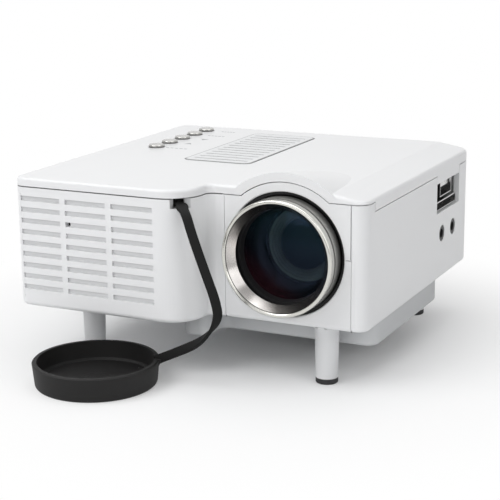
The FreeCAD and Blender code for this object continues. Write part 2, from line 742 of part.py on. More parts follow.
def makeLid():
    body = newBody("top_cover")
    slab = sketchOn(body, "lidOutline", "XY_Plane", SIDE_HIGH)
    bodyOutline(slab)
    pad(body, slab, f"topHeight - {SIDE_HIGH}")
    # the strip along the right slopes down to the side
    slope = sketchOn(body, "lidSlope", "XZ_Plane", "bodyDepth / 2 + 1")
    path(slope, [
        ("bodyWidth / 2 - stripWidth", "topHeight"),
        ("bodyWidth / 2 + stripWidth", "topHeight - 2 * stripDrop"),
        ("bodyWidth / 2 + stripWidth", "topHeight + 1"),
        ("bodyWidth / 2 - stripWidth", "topHeight + 1"),
    ])
    pocket(body, slope, "bodyDepth + 2")
    top = amount("topHeight")
    low = top - SIZES["stripDrop"] - 0.2
    soften(body, lambda edge: edge.BoundBox.ZMin > low and not insideTop(edge), "lipRadius")
    # hood over the lens: from the arch at the front down into the flat top
    archFront = sketchOn(body, "hoodFront", "XZ_Plane", "-lensFace")
    half = "sqrt(hoodRadius ^ 2 - (hoodFoot - lensHeight) ^ 2)"
    path(archFront, [
        (f"lensX + {half}", "hoodFoot", "hoodRadius", 1),
        (f"lensX - {half}", "hoodFoot"),
    ])
    archRear = sketchOn(body, "hoodRear", "XZ_Plane", "-lensFace - hoodLength")
    rise = "(topHeight - 0.05 - hoodFoot)"
    path(archRear, [
        (f"lensX + {half}", "hoodFoot", f"({half} ^ 2 + {rise} ^ 2) / (2 * {rise})", 1),
        (f"lensX - {half}", "hoodFoot"),
    ])
    loft(body, [archFront, archRear])
    # clear everything under the joint, except the right skirt
    under = sketchOn(body, "lidUnder", "XY_Plane", "sideSeamHeight - 1")
    edge = "bodyWidth / 2 - wall"
    path(under, [
        ("-bodyWidth / 2 - 1", "-bodyDepth / 2 - 1"),
        ("bodyWidth / 2 + 1", "-bodyDepth / 2 - 1"),
        ("bodyWidth / 2 + 1", "sideSkirtStart"),
        (edge, "sideSkirtStart"),
        (edge, "bodyDepth / 2 + 1"),
        ("-bodyWidth / 2 - 1", "bodyDepth / 2 + 1"),
    ])
    pocket(body, under, f"{SEAM_HIGH} - sideSeamHeight + 1", forward=True)
    hollow = sketchOn(body, "lidHollow", "XY_Plane", "sideSeamHeight - 1")
    bodyOutline(hollow, "wall")
    pocket(body, hollow, f"{STRIP_CEILING} - sideSeamHeight + 1", forward=True)
    deeper = sketchOn(body, "lidDeeper", "XY_Plane", "sideSeamHeight - 1")
    bodyOutline(deeper, "wall", "bodyWidth / 2 - stripWidth")
    pocket(body, deeper, f"{CEILING} - sideSeamHeight + 1", forward=True)
    # inside of the hood, and the arch that the bezel fills
    inner = "(archRadius + seamGap / 2)"
    span = f"sqrt({inner} ^ 2 - (hoodKeel - lensHeight) ^ 2)"
    arch = [(f"lensX + {span}", "hoodKeel", inner, 1), (f"lensX - {span}", "hoodKeel")]
    mouth = sketchOn(body, "archMouth", "XZ_Plane", "-lensFace + 1")
    path(mouth, arch)
    pocket(body, mouth, "1 + bezelThickness + seamGap")
    wellFront = sketchOn(body, "archFront", "XZ_Plane", "-lensFace - bezelThickness")
    path(wellFront, arch)
    wellRear = sketchOn(body, "archRear", "XZ_Plane", "-lensFace - hoodLength")
    drop = f"({CEILING} - hoodKeel)"
    path(wellRear, [
        (f"lensX + {span}", "hoodKeel", f"({span} ^ 2 + {drop} ^ 2) / (2 * {drop})", 1),
        (f"lensX - {span}", "hoodKeel"),
    ])
    loft(body, [wellFront, wellRear], "PartDesign::SubtractiveLoft")
    # buttons
    buttons = sketchOn(body, "buttonHoles", "XY_Plane", "topHeight + 1")
    circle(buttons, "buttonX", "buttonY", "buttonRadius + buttonGap")
    hole = pocket(body, buttons, "topThickness + 2")
    row(body, hole, buttons, "V_Axis", "4 * buttonPitch", 5)
    # seat of the ribbed insert
    seat = sketchOn(body, "gripSeat", "XY_Plane", "topHeight + 1")
    gripOutline(seat, "-seamGap", "-slipGap")
    pocket(body, seat, "gripThickness + 1")
    # hangers of the keypad and posts of the lid screws
    hangers = sketchOn(body, "keypadHangers", "XY_Plane", "keypadHeight")
    for index in (0, 2, 4):
        circle(hangers, "buttonX - keypadHangerOut", f"buttonY + {index} * buttonPitch", "1.8")
    pad(body, hangers, f"{CEILING} + 0.5 - keypadHeight")
    posts = sketchOn(body, "lidPosts", "XY_Plane", "postTop")
    for x, y in POST_PLACES:
        circle(posts, x, y, "lidPostRadius")
    pad(body, posts, f"{SEAM_HIGH} + 0.6 - postTop")
    leftPosts = sketchOn(body, "lidPostsLeft", "XY_Plane", "postTop")
    for x, y in (POST_PLACES[0], POST_PLACES[3]):
        circle(leftPosts, x, y, "lidPostRadius")
    pad(body, leftPosts, f"{CEILING} + 0.3 - postTop")
    bites = sketchOn(body, "lidBites", "XY_Plane", "postTop - 1")
    for x, y in POST_PLACES:
        circle(bites, x, y, "screwRadius + threadGap")
    pocket(body, bites, "lidScrewBite + 1.2", forward=True)
    # tab that closes the top of the card opening
    tab = sketchOn(body, "portTab", "YZ_Plane", "bodyWidth / 2")
    rectangle(tab, "portFront + slipGap", "portTop", "portRear - seamGap", "sideSeamHeight + 1")
    pad(body, tab, "wall", back=True)
    keep(body, "top_cover")


def insideTop(edge):
    """True for the crease between the flat top and the sloping strip."""
    crease = SIZES["bodyWidth"] / 2 - SIZES["stripWidth"]
    return all(abs(vertex.X - crease) < 0.01 for vertex in edge.Vertexes)


def gripOutline(sketch, side, end):
    """The ribbed insert's outline, drawn in by one amount at the sides and another at the ends."""
    rounded(sketch, [
        (f"gripX - gripWidth / 2 + {side}", f"gripY - gripLength / 2 + {end}", f"gripCorner - {end}"),
        (f"gripX + gripWidth / 2 - {side}", f"gripY - gripLength / 2 + {end}", f"gripCorner - {end}"),
        (f"gripX + gripWidth / 2 - {side}", f"gripY + gripLength / 2 - {end}", f"gripCorner - {end}"),
        (f"gripX - gripWidth / 2 + {side}", f"gripY + gripLength / 2 - {end}", f"gripCorner - {end}"),
    ])


def makeGrip():
    body = newBody("top_grip_panel")
    plate = sketchOn(body, "gripPlate", "XY_Plane", "topHeight - gripThickness")
    gripOutline(plate, "0", "0")
    pad(body, plate, "gripThickness + gripCrown")
    groove = sketchOn(body, "gripGroove", "XY_Plane", "topHeight + gripCrown")
    rectangle(groove, "gripX - gripWidth / 2 + 2.5", "gripY - gripLength / 2 + 4",
              "gripX + gripWidth / 2 - 2.5", "gripY - gripLength / 2 + 4 + gripRibWidth")
    first = pocket(body, groove, "gripRibDepth")
    row(body, first, groove, "V_Axis", "11 * gripRibPitch", 12)
    keep(body, "top_grip_panel")


def makeBezel():
    body = newBody("lens_bezel")
    plate = sketchOn(body, "bezelPlate", "XZ_Plane", "-lensFace")
    arch = "(archRadius - seamGap / 2)"
    half = f"sqrt({arch} ^ 2 - ({SEAM_LOW} - lensHeight) ^ 2)"
    left, right = "bezelLeft + slipGap", "bezelRight - slipGap"
    path(plate, [
        (left, "floorHeight"),
        (right, "floorHeight"),
        (right, SEAM_LOW),
        (f"lensX + {half}", SEAM_LOW, arch, 1),
        (f"lensX - {half}", SEAM_LOW),
        (left, SEAM_LOW),
    ])
    pad(body, plate, "bezelThickness", back=True)
    # flanges that bear on the inside of the front wall
    flange = sketchOn(body, "bezelFlanges", "XY_Plane", "floorHeight + floorThickness + 1")
    inside = "lensFace + wall"
    sides = ((left, f"{left} + 1.6", "bezelLeft - 2"), (right, f"{right} - 1.6", "bezelRight + 0.7"))
    for near, far, out in sides:
        path(flange, [
            (near, "lensFace + bezelThickness - 0.2"),
            (far, "lensFace + bezelThickness - 0.2"),
            (far, f"{inside} + 1.2"),
            (out, f"{inside} + 1.2"),
            (out, inside),
            (near, inside),
        ])
    pad(body, flange, "seamHeight - floorHeight - floorThickness - 4")
    collar = sketchOn(body, "bezelCollar", "XZ_Plane", "-lensFace - bezelThickness / 2")
    circle(collar, "lensX", "lensHeight", "wellRadius + wellWall")
    pad(body, collar, "wellDepth - bezelThickness / 2", back=True)
    well = sketchOn(body, "bezelWell", "XZ_Plane", "-lensFace + 1")
    circle(well, "lensX", "lensHeight", "wellRadius")
    pocket(body, well, "wellDepth + 2")
    # parting notch in the upper half of the right edge
    notch = sketchOn(body, "bezelNotch", "XZ_Plane", "-lensFace + 1")
    path(notch, [
        ("bezelRight - slipGap - 0.25", "lensHeight + 0.4"),
        ("bezelRight - slipGap - 0.25", "seamHeight + 1"),
        ("bezelRight + 1", "seamHeight + 1"),
        ("bezelRight + 1", "lensHeight + 0.1"),
        ("bezelRight - 2.1", "lensHeight + 0.1"),
        ("bezelRight - 2.1", "lensHeight + 0.4"),
    ])
    pocket(body, notch, "1.8")
    radius = SIZES["wellRadius"]
    face = amount("lensFace")
    soften(body, lambda edge: edge.BoundBox.YLength < 0.01 and abs(edge.BoundBox.YMin - face) < 0.01
           and abs(edge.BoundBox.XLength - 2 * radius) < 0.05, "0.5")
    keep(body, "lens_bezel")


def makeTub():
    body = newBody("base_tub")

    def outline(sketch, inset):
        corner, bend = f"tubCorner - {inset}", f"4 - {inset}"
        rounded(sketch, [
            (f"tubLeft + {inset}", f"tubLobeFront + {inset}", bend),
            (f"tubLobeRight - {inset}", f"tubLobeFront + {inset}", bend),
            (f"tubLobeRight - {inset}", f"tubFront + {inset}", f"4 + {inset}"),
            (f"tubRight - {inset}", f"tubFront + {inset}", corner),
            (f"tubRight - {inset}", f"tubRear - {inset}", corner),
            (f"tubLeft + {inset}", f"tubRear - {inset}", corner),
        ])

    outer = sketchOn(body, "tubOutline", "XY_Plane", "tubBottom")
    outline(outer, "0")
    pad(body, outer, "floorHeight - tubBottom")
    bottom = amount("tubBottom")
    soften(body, lambda edge: edge.BoundBox.ZMax < bottom + 0.01, "1.4")
    inner = sketchOn(body, "tubHollow", "XY_Plane", "tubBottom + tubWall")
    outline(inner, "tubWall")
    pocket(body, inner, "floorHeight - tubBottom", forward=True)
    bosses = sketchOn(body, "tubBosses", "XY_Plane", "tubBottom + 1")
    for x, y in TUB_SCREWS:
        circle(bosses, x, y, "tubBossRadius")
    pad(body, bosses, "floorHeight - tubBottom - 1")
    holes = sketchOn(body, "tubHoles", "XY_Plane", "floorHeight + 1")
    for x, y in TUB_SCREWS:
        circle(holes, x, y, "screwRadius + threadGap")
    pocket(body, holes, "floorHeight - tubBottom + 2")
    sinks = sketchOn(body, "tubSinks", "XY_Plane", "tubBottom - 1")
    for x, y in TUB_SCREWS:
        circle(sinks, x, y, "screwHead + 0.25")
    pocket(body, sinks, "screwHeadHeight + 1.4", forward=True)
    slots = sketchOn(body, "tubSlots", "XY_Plane", "tubBottom - 1")
    rectangle(slots, "lensX - 3.5 * tubSlotPitch - tubSlotWidth / 2", "windowFront",
              "lensX - 3.5 * tubSlotPitch + tubSlotWidth / 2", "windowRear")
    first = pocket(body, slots, "tubWall + 2", forward=True)
    row(body, first, slots, "H_Axis", "7 * tubSlotPitch", 8)
    keep(body, "base_tub")


# ---------------------------------------------------------------- keys

PCB_PLACES = range(5)


def makeButtons():
    for index in PCB_PLACES:
        label = f"menu_button_{index + 1}"
        button = turned(label, [
            ("0", "0"),
            ("buttonStem", "0"),
            ("buttonStem", "buttonFlangeLow - buttonFoot"),
            ("buttonFlange", "buttonFlangeLow - buttonFoot"),
            ("buttonFlange", f"{CEILING} - buttonFoot - slideGap"),
            ("buttonRadius", f"{CEILING} - buttonFoot - slideGap"),
            ("buttonRadius", "topHeight + buttonRise - buttonFoot - 0.5", "0.5", 1),
            ("buttonRadius - 0.5", "topHeight + buttonRise - buttonFoot"),
            ("0", "topHeight + buttonRise - buttonFoot"),
        ])
        place(button, "buttonX", f"buttonY + {index} * buttonPitch", "buttonFoot")
        keep(button, label)


def makeKeypad():
    top = "keypadHeight"
    pieces = [block("buttonX - keypadHangerOut - 2", "buttonY - 4", f"{top} - boardThickness",
                    "keypadHangerOut + 7.5", "4 * buttonPitch + 7", "boardThickness")]
    for index in PCB_PLACES:
        middle = f"buttonY + {index} * buttonPitch"
        pieces.append(block("buttonX - switchSize / 2", f"{middle} - switchSize / 2", top,
                            "switchSize", "switchSize", "buttonFoot - keypadHeight - 1.6"))
        pieces.append(rod("buttonX", middle, top, "switchStem",
                          "buttonFoot - keypadHeight - buttonTravel - 0.1"))
    keep(fused("keypad_board", pieces), "keypad_board")


# ---------------------------------------------------------------- lens


def onLensAxis(body, label, back="0"):
    """Lays a turned body along the lens axis, its base at a distance behind the ring's front."""
    place(body, "lensX", f"ringPlane + {back}", "lensHeight", ALONG_Y)
    return keep(body, label)


def makeLens():
    onLensAxis(turned("chrome_ring", [
        ("coneThroat", "coneDepth"),
        ("barrelRadius - lipWidth", "0.25"),
        ("barrelRadius - lipWidth + 0.25", "0"),
        ("barrelRadius - 0.6", "0", "0.6", 1),
        ("barrelRadius", "0.6"),
        ("barrelRadius", "ringLength"),
        ("barrelBore - slideGap", "ringLength"),
        ("barrelBore - slideGap", "coneDepth"),
    ]), "chrome_ring")
    onLensAxis(turned("focus_barrel", [
        ("barrelBore", "ringLength"),
        ("barrelRadius", "ringLength"),
        ("barrelRadius", "ringLength + 0.8"),
        ("barrelRadius - 0.4", "ringLength + 0.8"),
        ("barrelRadius - 0.4", "ringLength + 1.3"),
        ("barrelRadius", "ringLength + 1.3"),
        ("barrelRadius", "barrelLength"),
        ("barrelBore", "barrelLength"),
        ("barrelBore", "pinDepth + pinRadius + 0.3"),
        ("barrelRadius - 0.55", "pinDepth + pinRadius + 0.3"),
        ("barrelRadius - 0.55", "pinDepth - focusTravel - pinRadius - 0.3"),
        ("barrelBore", "pinDepth - focusTravel - pinRadius - 0.3"),
    ]), "focus_barrel")
    sleeve = turned("sleeveTube", [
        ("sleeveBore", "sleeveStart"),
        ("sleeveRadius", "sleeveStart"),
        ("sleeveRadius", "sleeveEnd - sleeveFlange"),
        ("barrelRadius - 0.2", "sleeveEnd - sleeveFlange"),
        ("barrelRadius - 0.2", "sleeveEnd"),
        ("sleeveBore", "sleeveEnd"),
    ])
    place(sleeve, "lensX", "ringPlane", "lensHeight", ALONG_Y)
    slot = block("lensX - pinRadius - slipGap",
                 "ringPlane + pinDepth - focusTravel - pinRadius - slipGap",
                 "lensHeight - sleeveRadius - 1", "2 * (pinRadius + slipGap)",
                 "focusTravel + 2 * (pinRadius + slipGap)", "3")
    keep(cut("lens_sleeve", sleeve, [slot]), "lens_sleeve")
    cell = turned("cellTube", [
        ("cellBore", "rimDepth + lensEdge"),
        ("lensEdgeRadius + slideGap", "rimDepth + lensEdge"),
        ("lensEdgeRadius + slideGap", "cellStart"),
        ("cellRadius", "cellStart"),
        ("cellRadius", "cellEnd"),
        ("cellBore", "cellEnd"),
    ])
    place(cell, "lensX", "ringPlane", "lensHeight", ALONG_Y)
    drivePin = rod("lensX", "ringPlane + pinDepth", "lensHeight - barrelRadius + 0.75",
                   "pinRadius", "barrelRadius - 0.75 - (cellRadius + cellBore) / 2")
    keep(fused("lens_cell", [cell, drivePin]), "lens_cell")
    onLensAxis(turned("lens_baffle", [
        ("lensEdgeRadius - 0.8", "rimDepth - slideGap"),
        ("lensEdgeRadius - 0.3", "cellStart - 0.4"),
        ("cellRadius - slipGap", "cellStart - 0.4"),
        ("cellRadius - slipGap", "cellStart"),
        ("lensEdgeRadius", "cellStart"),
        ("lensEdgeRadius", "rimDepth - slideGap"),
    ]), "lens_baffle")
    clear = "(lensEdgeRadius - 0.9)"
    onLensAxis(turned("front_lens", [
        ("0", "rimDepth - lensBulge", f"({clear} ^ 2 + lensBulge ^ 2) / (2 * lensBulge)", 1),
        (clear, "rimDepth"),
        ("lensEdgeRadius", "rimDepth"),
        ("lensEdgeRadius", "rimDepth + lensEdge"),
        ("0", "rimDepth + lensEdge"),
    ]), "front_lens")
    onLensAxis(turned("lens_spacer", [
        ("cellBore - 1", "rimDepth + lensEdge"),
        ("cellBore - slideGap", "rimDepth + lensEdge"),
        ("cellBore - slideGap", "rearLensDepth"),
        ("cellBore - 1", "rearLensDepth"),
    ]), "lens_spacer")
    near, far, bulge = "(cellBore - 1.2)", "(cellBore - 2.4)", "rearBulge"
    onLensAxis(turned("rear_lens", [
        ("0", f"rearLensDepth - {bulge}", f"({near} ^ 2 + {bulge} ^ 2) / (2 * {bulge})", 1),
        (near, "rearLensDepth"),
        ("cellBore - slideGap", "rearLensDepth"),
        ("cellBore - slideGap", "rearLensDepth + lensEdge"),
        (far, "rearLensDepth + lensEdge", f"({far} ^ 2 + {bulge} ^ 2) / (2 * {bulge})", 1),
        ("0", f"rearLensDepth + lensEdge + {bulge}"),
    ]), "rear_lens")
    onLensAxis(turned("lens_retaining_ring", [
        ("cellBore - 2.2", "rearLensDepth + lensEdge"),
        ("cellBore - slideGap", "rearLensDepth + lensEdge"),
        ("cellBore - slideGap", "rearLensDepth + 2 * lensEdge"),
        ("cellBore - 2.2", "rearLensDepth + 2 * lensEdge"),
    ]), "lens_retaining_ring")
    onLensAxis(turned("light_seal", [
        ("barrelRadius + 0.35", "0"),
        ("wellRadius", "0"),
        ("wellRadius", "sealWidth"),
        ("barrelRadius + 0.35", "sealWidth"),
    ]), "light_seal", "ringFront + wellDepth - sealWidth")


# ---------------------------------------------------------------- light engine


def acrossLens(y, width, height, depth):
    """A plate square to the lens axis, from its front plane back."""
    return block(f"lensX - ({width}) / 2", y, f"lensHeight - ({height}) / 2", width, depth, height)


def makeEngine():
    inside = "engineWall"
    box = block("lensX - engineHalfWidth", "engineFront", "lensHeight - engineHalfHeight",
                "2 * engineHalfWidth", "engineRear - engineFront", "2 * engineHalfHeight")
    hollow = block(f"lensX - engineHalfWidth + {inside}", f"engineFront + {inside}",
                   f"lensHeight - engineHalfHeight + {inside}", f"2 * (engineHalfWidth - {inside})",
                   "engineRear - engineFront", f"2 * (engineHalfHeight - {inside})")
    bore = rod("lensX", "engineFront - 1", "lensHeight", "engineBore", "engineWall + 2", ALONG_Y)
    shell = cut("engineShell", box, [hollow, bore])
    rails = []
    for side in ("lensX - engineHalfWidth + 1", "lensX + engineHalfWidth - 5"):
        rails.append(block(side, "engineFront + 4", "floorHeight + floorThickness", "4",
                           "engineRear - engineFront - 8",
                           "lensHeight - engineHalfHeight + 0.5 - floorHeight - floorThickness"))
    keep(fused("optical_housing", [shell] + rails), "optical_housing")

    body = newBody("light_funnel")

    def ends(inset, frontY, rearY, name):
        wide = sketchOn(body, name + "Wide", "XZ_Plane", f"-({frontY})")
        rectangle(wide, f"lensX - engineHalfWidth + {inset}", f"lensHeight - engineHalfHeight + {inset}",
                  f"lensX + engineHalfWidth - {inset}", f"lensHeight + engineHalfHeight - {inset}")
        narrow = sketchOn(body, name + "Narrow", "XZ_Plane", f"-({rearY})")
        rectangle(narrow, f"lensX - funnelHalf + {inset}", f"lensHeight - funnelHalf + {inset}",
                  f"lensX + funnelHalf - {inset}", f"lensHeight + funnelHalf - {inset}")
        return [wide, narrow]

    loft(body, ends("0", "engineRear", "funnelRear", "funnelOuter"))
    loft(body, ends("1.2", "engineRear - 0.01", "funnelRear - 3.5", "funnelInner"),
         "PartDesign::SubtractiveLoft")
    bore = sketchOn(body, "condenserBore", "XZ_Plane", "-funnelRear - 1")
    circle(bore, "lensX", "lensHeight", "condenserRadius + slideGap")
    pocket(body, bore, "5", forward=True)
    keep(body, "light_funnel")

    opening = "2 * (engineHalfWidth - engineWall)"
    tall = "2 * (engineHalfHeight - engineWall)"
    keep(acrossLens("fresnelFront", opening, tall, "fresnelThickness"), "front_fresnel")
    keep(acrossLens("fresnelRear", opening, tall, "fresnelThickness"), "rear_fresnel")
    frame = acrossLens("lcdFront", opening, tall, "lcdFrameDepth")
    window = acrossLens("lcdFront - 1", "lcdWidth - 8", "lcdHeight - 8", "lcdFrameDepth + 2")
    seat = acrossLens("lcdFront + 1", "lcdWidth - 4", "lcdHeight - 4", "lcdFrameDepth")
    keep(cut("lcd_frame", frame, [window, seat]), "lcd_frame")
    keep(acrossLens("lcdFront + 1", "lcdWidth - 4 - 2 * slideGap", "lcdHeight - 4 - 2 * slideGap",
                    "lcdPanelDepth"), "lcd_panel")
    lens = turned("condenser_lens", [
        ("0", "-condenserBulge", "(condenserRadius ^ 2 + condenserBulge ^ 2) / (2 * condenserBulge)", 1),
        ("condenserRadius", "0"),
        ("condenserRadius", "1.6"),
        ("0", "1.6"),
    ])
    place(lens, "lensX", "funnelRear - 3", "lensHeight", ALONG_Y)
    keep(lens, "condenser_lens")
    board = acrossLens("funnelRear", "2 * funnelHalf - 1", "2 * funnelHalf - 1", "boardThickness")
    lamp = acrossLens("funnelRear - 0.8", "8", "8", "0.8")
    keep(fused("led_board", [board, lamp]), "led_board")
    fins = [acrossLens("sinkFront", "sinkSize", "sinkSize", "sinkBase")]
    for index in range(8):
        left = f"lensX - 3.5 * finPitch - finWidth / 2 + {index} * finPitch"
        fins.append(block(left, "sinkFront + sinkBase", "lensHeight - sinkSize / 2",
                          "finWidth", "sinkRear - sinkFront - sinkBase", "sinkSize"))
    keep(fused("heatsink", fins), "heatsink")


def makeFan():
    front, depth = "bodyDepth / 2 - wall - fanDepth", "fanDepth"
    frame = acrossLens(front, "fanSize", "fanSize", depth)
    throat = rod("lensX", f"{front} - 1", "lensHeight", "fanBore", f"{depth} + 2", ALONG_Y)
    shell = cut("fanShell", frame, [throat])
    struts = [rod("lensX", f"{front} + {depth} - 1.4", "lensHeight", "fanHubRadius", "1.4", ALONG_Y)]
    for turn in (45, 135):
        bar = block("0", "0", "0", "2 * fanBore + 2", "1.2", "2")
        bar.Placement = Placement(Vector(0, 0, 0), Rotation(Vector(0, 1, 0), turn))
        radial = math.radians(turn)
        across, up = round(math.cos(radial), 6), round(-math.sin(radial), 6)
        place(bar, f"lensX - ({across}) * (fanBore + 1) - ({-up})", f"{front} + {depth} - 1.2",
              f"lensHeight - ({up}) * (fanBore + 1) - ({across})", Rotation(Vector(0, 1, 0), turn))
        struts.append(bar)
    axle = rod("lensX", f"{front} + 2", "lensHeight", "fanAxle", f"{depth} - 3", ALONG_Y)
    keep(fused("fan_frame", [shell, axle] + struts), "fan_frame")

    hub = rod("lensX", f"{front} + 0.8", "lensHeight", "fanHubRadius", f"{depth} - 2.6", ALONG_Y)
    blades = [hub]
    for index in range(FAN_BLADES):
        turn = Rotation(Vector(0, 1, 0), index * 360 / FAN_BLADES) * Rotation(Vector(1, 0, 0), 35)
        corner = turn.multVec(Vector(0, -2.6, -0.4))
        blade = block("0", "0", "0", "fanTip - 0.4", "5.2", "0.8")
        x, y, z = (f"({round(value, 5)})" for value in corner)
        place(blade, f"lensX + {x}", f"{front} + {depth} / 2 - 0.5 + {y}", f"lensHeight + {z}", turn)
        blades.append(blade)
    whole = fused("fanWheel", blades)
    pivot = rod("lensX", f"{front} - 1", "lensHeight", "fanAxle + slideGap", f"{depth} + 2", ALONG_Y)
    keep(cut("fan_rotor", whole, [pivot]), "fan_rotor")


# ---------------------------------------------------------------- boards and sockets


def makeBoards():
    floor = "boardHeight + boardThickness"
    plate = block("boardLeft", "boardFront", "boardHeight", "boardRight - boardLeft",
                  "boardRear - boardFront", "boardThickness")
    parts = [plate]
    for x, y, length, width, height in MAIN_CHIPS:
        parts.append(block(f"boardLeft + {x}", f"boardFront + {y}", floor, length, width, height))
    keep(fused("main_board", parts), "main_board")

    upright = block("portBoardX", "portFront - 2.4", "floorHeight + floorThickness", "boardThickness",
                    "portRear - portFront + 3.4", "portTop + 1.4 - floorHeight - floorThickness")
    relief = block("portBoardX - 1", "legRearY - legBossRadius - 0.5", "floorHeight", "boardThickness + 2",
                   "20", "legBossHeight + 0.5")
    keep(cut("port_board", upright, [relief]), "port_board")

    face = "portBoardX + boardThickness"
    mouth = "bodyWidth / 2 - wall / 2"

    def shellSocket(label, y, z, width, height, skin):
        outer = block(face, y, z, f"{mouth} - ({face})", width, height)
        inner = block(f"{face} + 2", f"{y} + {skin}", f"{z} + {skin}", f"{mouth} - ({face})",
                      f"{width} - 2 * {skin}", f"{height} - 2 * {skin}")
        socket = cut(label + "Shell", outer, [inner])
        if label == "card_socket":
            return keep(socket, label)
        tongue = block(f"{face} + 1", f"{y} + 1.4", f"{z} + {height} - {skin} - 2.2",
                       f"{mouth} - ({face}) - 2", f"{width} - 2.8", "1.8")
        return keep(fused(label, [socket, tongue]), label)

    shellSocket("usb_socket", "portFront + (portRear - portFront - usbWidth) / 2",
                "portTop - usbHeight - 0.4", "usbWidth", "usbHeight", "0.3")
    shellSocket("card_socket", "portFront + (portRear - portFront - cardWidth) / 2",
                "portBottom + 0.4", "cardWidth", "cardHeight", "0.4")
    for label, y in (("av_jack", "jackFrontY"), ("phone_jack", "jackRearY")):
        reach = f"bodyWidth / 2 - wall - slipGap - ({face})"
        case = block(face, f"{y} - jackCase / 2", "jackHeight - jackCase / 2", reach, "jackCase", "jackCase")
        nose = rod("bodyWidth / 2 - wall - 1", y, "jackHeight", "jackRadius", "wall + 0.8", ALONG_X)
        hole = rod(f"{face} + 2", y, "jackHeight", "jackBore", "bodyWidth", ALONG_X)
        keep(cut(label, fused(label + "Case", [case, nose]), [hole]), label)

    rear = "bodyDepth / 2 - wall"
    case = block("dcX - dcCase / 2", f"{rear} - dcDepth - slipGap", floor, "dcCase", "dcDepth",
                 f"dcHeight + dcRadius + 0.4 - ({floor})")
    nose = rod("dcX", f"{rear} - 1", "dcHeight", "dcRadius", "wall + 0.8", ALONG_Y)
    hole = rod("dcX", f"{rear} - dcDepth + 2.8", "dcHeight", "dcBore", "dcDepth + wall", ALONG_Y)
    pin = rod("dcX", f"{rear} - dcDepth + 1.8", "dcHeight", "dcPin", "dcDepth - 1.8", ALONG_Y)
    dc = cut("dcCase", fused("dcSolid", [case, nose]), [hole])
    keep(fused("dc_jack", [dc, pin]), "dc_jack")

    case = block("vgaX - vgaCase / 2", f"{rear} - vgaDepth - slipGap", floor, "vgaCase", "vgaDepth",
                 f"vgaHeight + vgaRise / 2 + 1.8 - ({floor})")
    nose = block("vgaX - vgaNose / 2", f"{rear} - 1", "vgaHeight - vgaRise / 2", "vgaNose",
                 "wall + 0.8", "vgaRise")
    holes = []
    for index in range(3):
        for step in range(5):
            x = f"vgaX + ({step - 2} + {0.5 if index == 1 else 0}) * vgaPitch - vgaHole"
            holes.append(rod(x, f"{rear} - 4", f"vgaHeight + {index - 1} * 2", "vgaHole", "20", ALONG_Y))
    keep(cut("vga_socket", fused("vgaCase", [case, nose]), holes), "vga_socket")


def makeSpeaker():
    front = "-bodyDepth / 2 + wall"
    cone = turned("speaker", [
        ("0", "3.2"),
        ("magnetRadius", "3.2"),
        ("speakerRadius - 1.4", "0.6"),
        ("speakerRadius - 1.4", "0"),
        ("speakerRadius", "0"),
        ("speakerRadius", "1.4"),
        ("speakerRadius - 3.6", "5"),
        ("magnetRadius", "5"),
        ("magnetRadius", "speakerDepth"),
        ("0", "speakerDepth"),
    ])
    place(cone, "speakerX", front, "speakerZ", ALONG_Y)
    keep(cone, "speaker")
    body = block("receiverX - 2.8", f"{front} + 2.2", "receiverZ - 3.4", "5.6", "2.6", "7")
    lens = rod("receiverX", front, "receiverZ", "2", "3", ALONG_Y)
    keep(fused("ir_receiver", [body, lens]), "ir_receiver")


# ---------------------------------------------------------------- feet, screws, cap and strap


def makeLegs():
    for name, x, y in LEG_PLACES:
        leg = turned(f"leg_{name}", [
            ("0", "3"),
            ("footStem + slideGap", "3"),
            ("footStem + slideGap", "0"),
            ("legTipRadius", "0"),
            ("legTopRadius", "floorHeight - legCollar - footHeight"),
            ("studRadius", "floorHeight - legCollar - footHeight"),
            ("studRadius", "floorHeight - legCollar - footHeight + studLength - 0.5"),
            ("studRadius - 0.5", "floorHeight - legCollar - footHeight + studLength"),
            ("0", "floorHeight - legCollar - footHeight + studLength"),
        ])
        place(leg, x, y, "footHeight")
        keep(leg, f"leg_{name}")
        foot = turned(f"foot_{name}", [
            ("0", "0"),
            ("legTipRadius - 0.5", "0", "0.5", 1),
            ("legTipRadius", "0.5"),
            ("legTipRadius", "footHeight"),
            ("footStem", "footHeight"),
            ("footStem", "footHeight + 2.8"),
            ("0", "footHeight + 2.8"),
        ])
        place(foot, x, y, "0")
        keep(foot, f"foot_{name}")


def screwsFrom(label, places, head, bite):
    """Screws driven upwards, their heads against a shelf at the head height."""
    pieces = []
    for x, y in places:
        pieces.append(rod(x, y, f"{head} - screwHeadHeight", "screwHead", "screwHeadHeight"))
        pieces.append(rod(x, y, head, "screwRadius", bite))
    keep(fused(label, pieces), label)


def makeScrews():
    screwsFrom("lid_screws", POST_PLACES, "postShelf", "postTop - postShelf + lidScrewBite")
    screwsFrom("tub_screws", TUB_SCREWS, "(tubBottom + screwHeadHeight + 0.4)",
               "floorHeight + tubScrewBite - tubBottom - screwHeadHeight - 0.4")


# the strap's points, from the anchor behind the shoulder down to the rim of the cap
STRAP_ROUTE = [
    (0.0, -58.5, 63.0),
    (4.9, -63.2, 61.6),
    (8.2, -64.6, 53.9),
    (12.6, -65.6, 43.0),
    (18.6, -66.3, 31.6),
    (17.4, -66.1, 22.6),
    (9.8, -65.2, 17.0),
    (1.2, -64.2, 13.8),
    (-5.7, -63.4, 7.3),
]


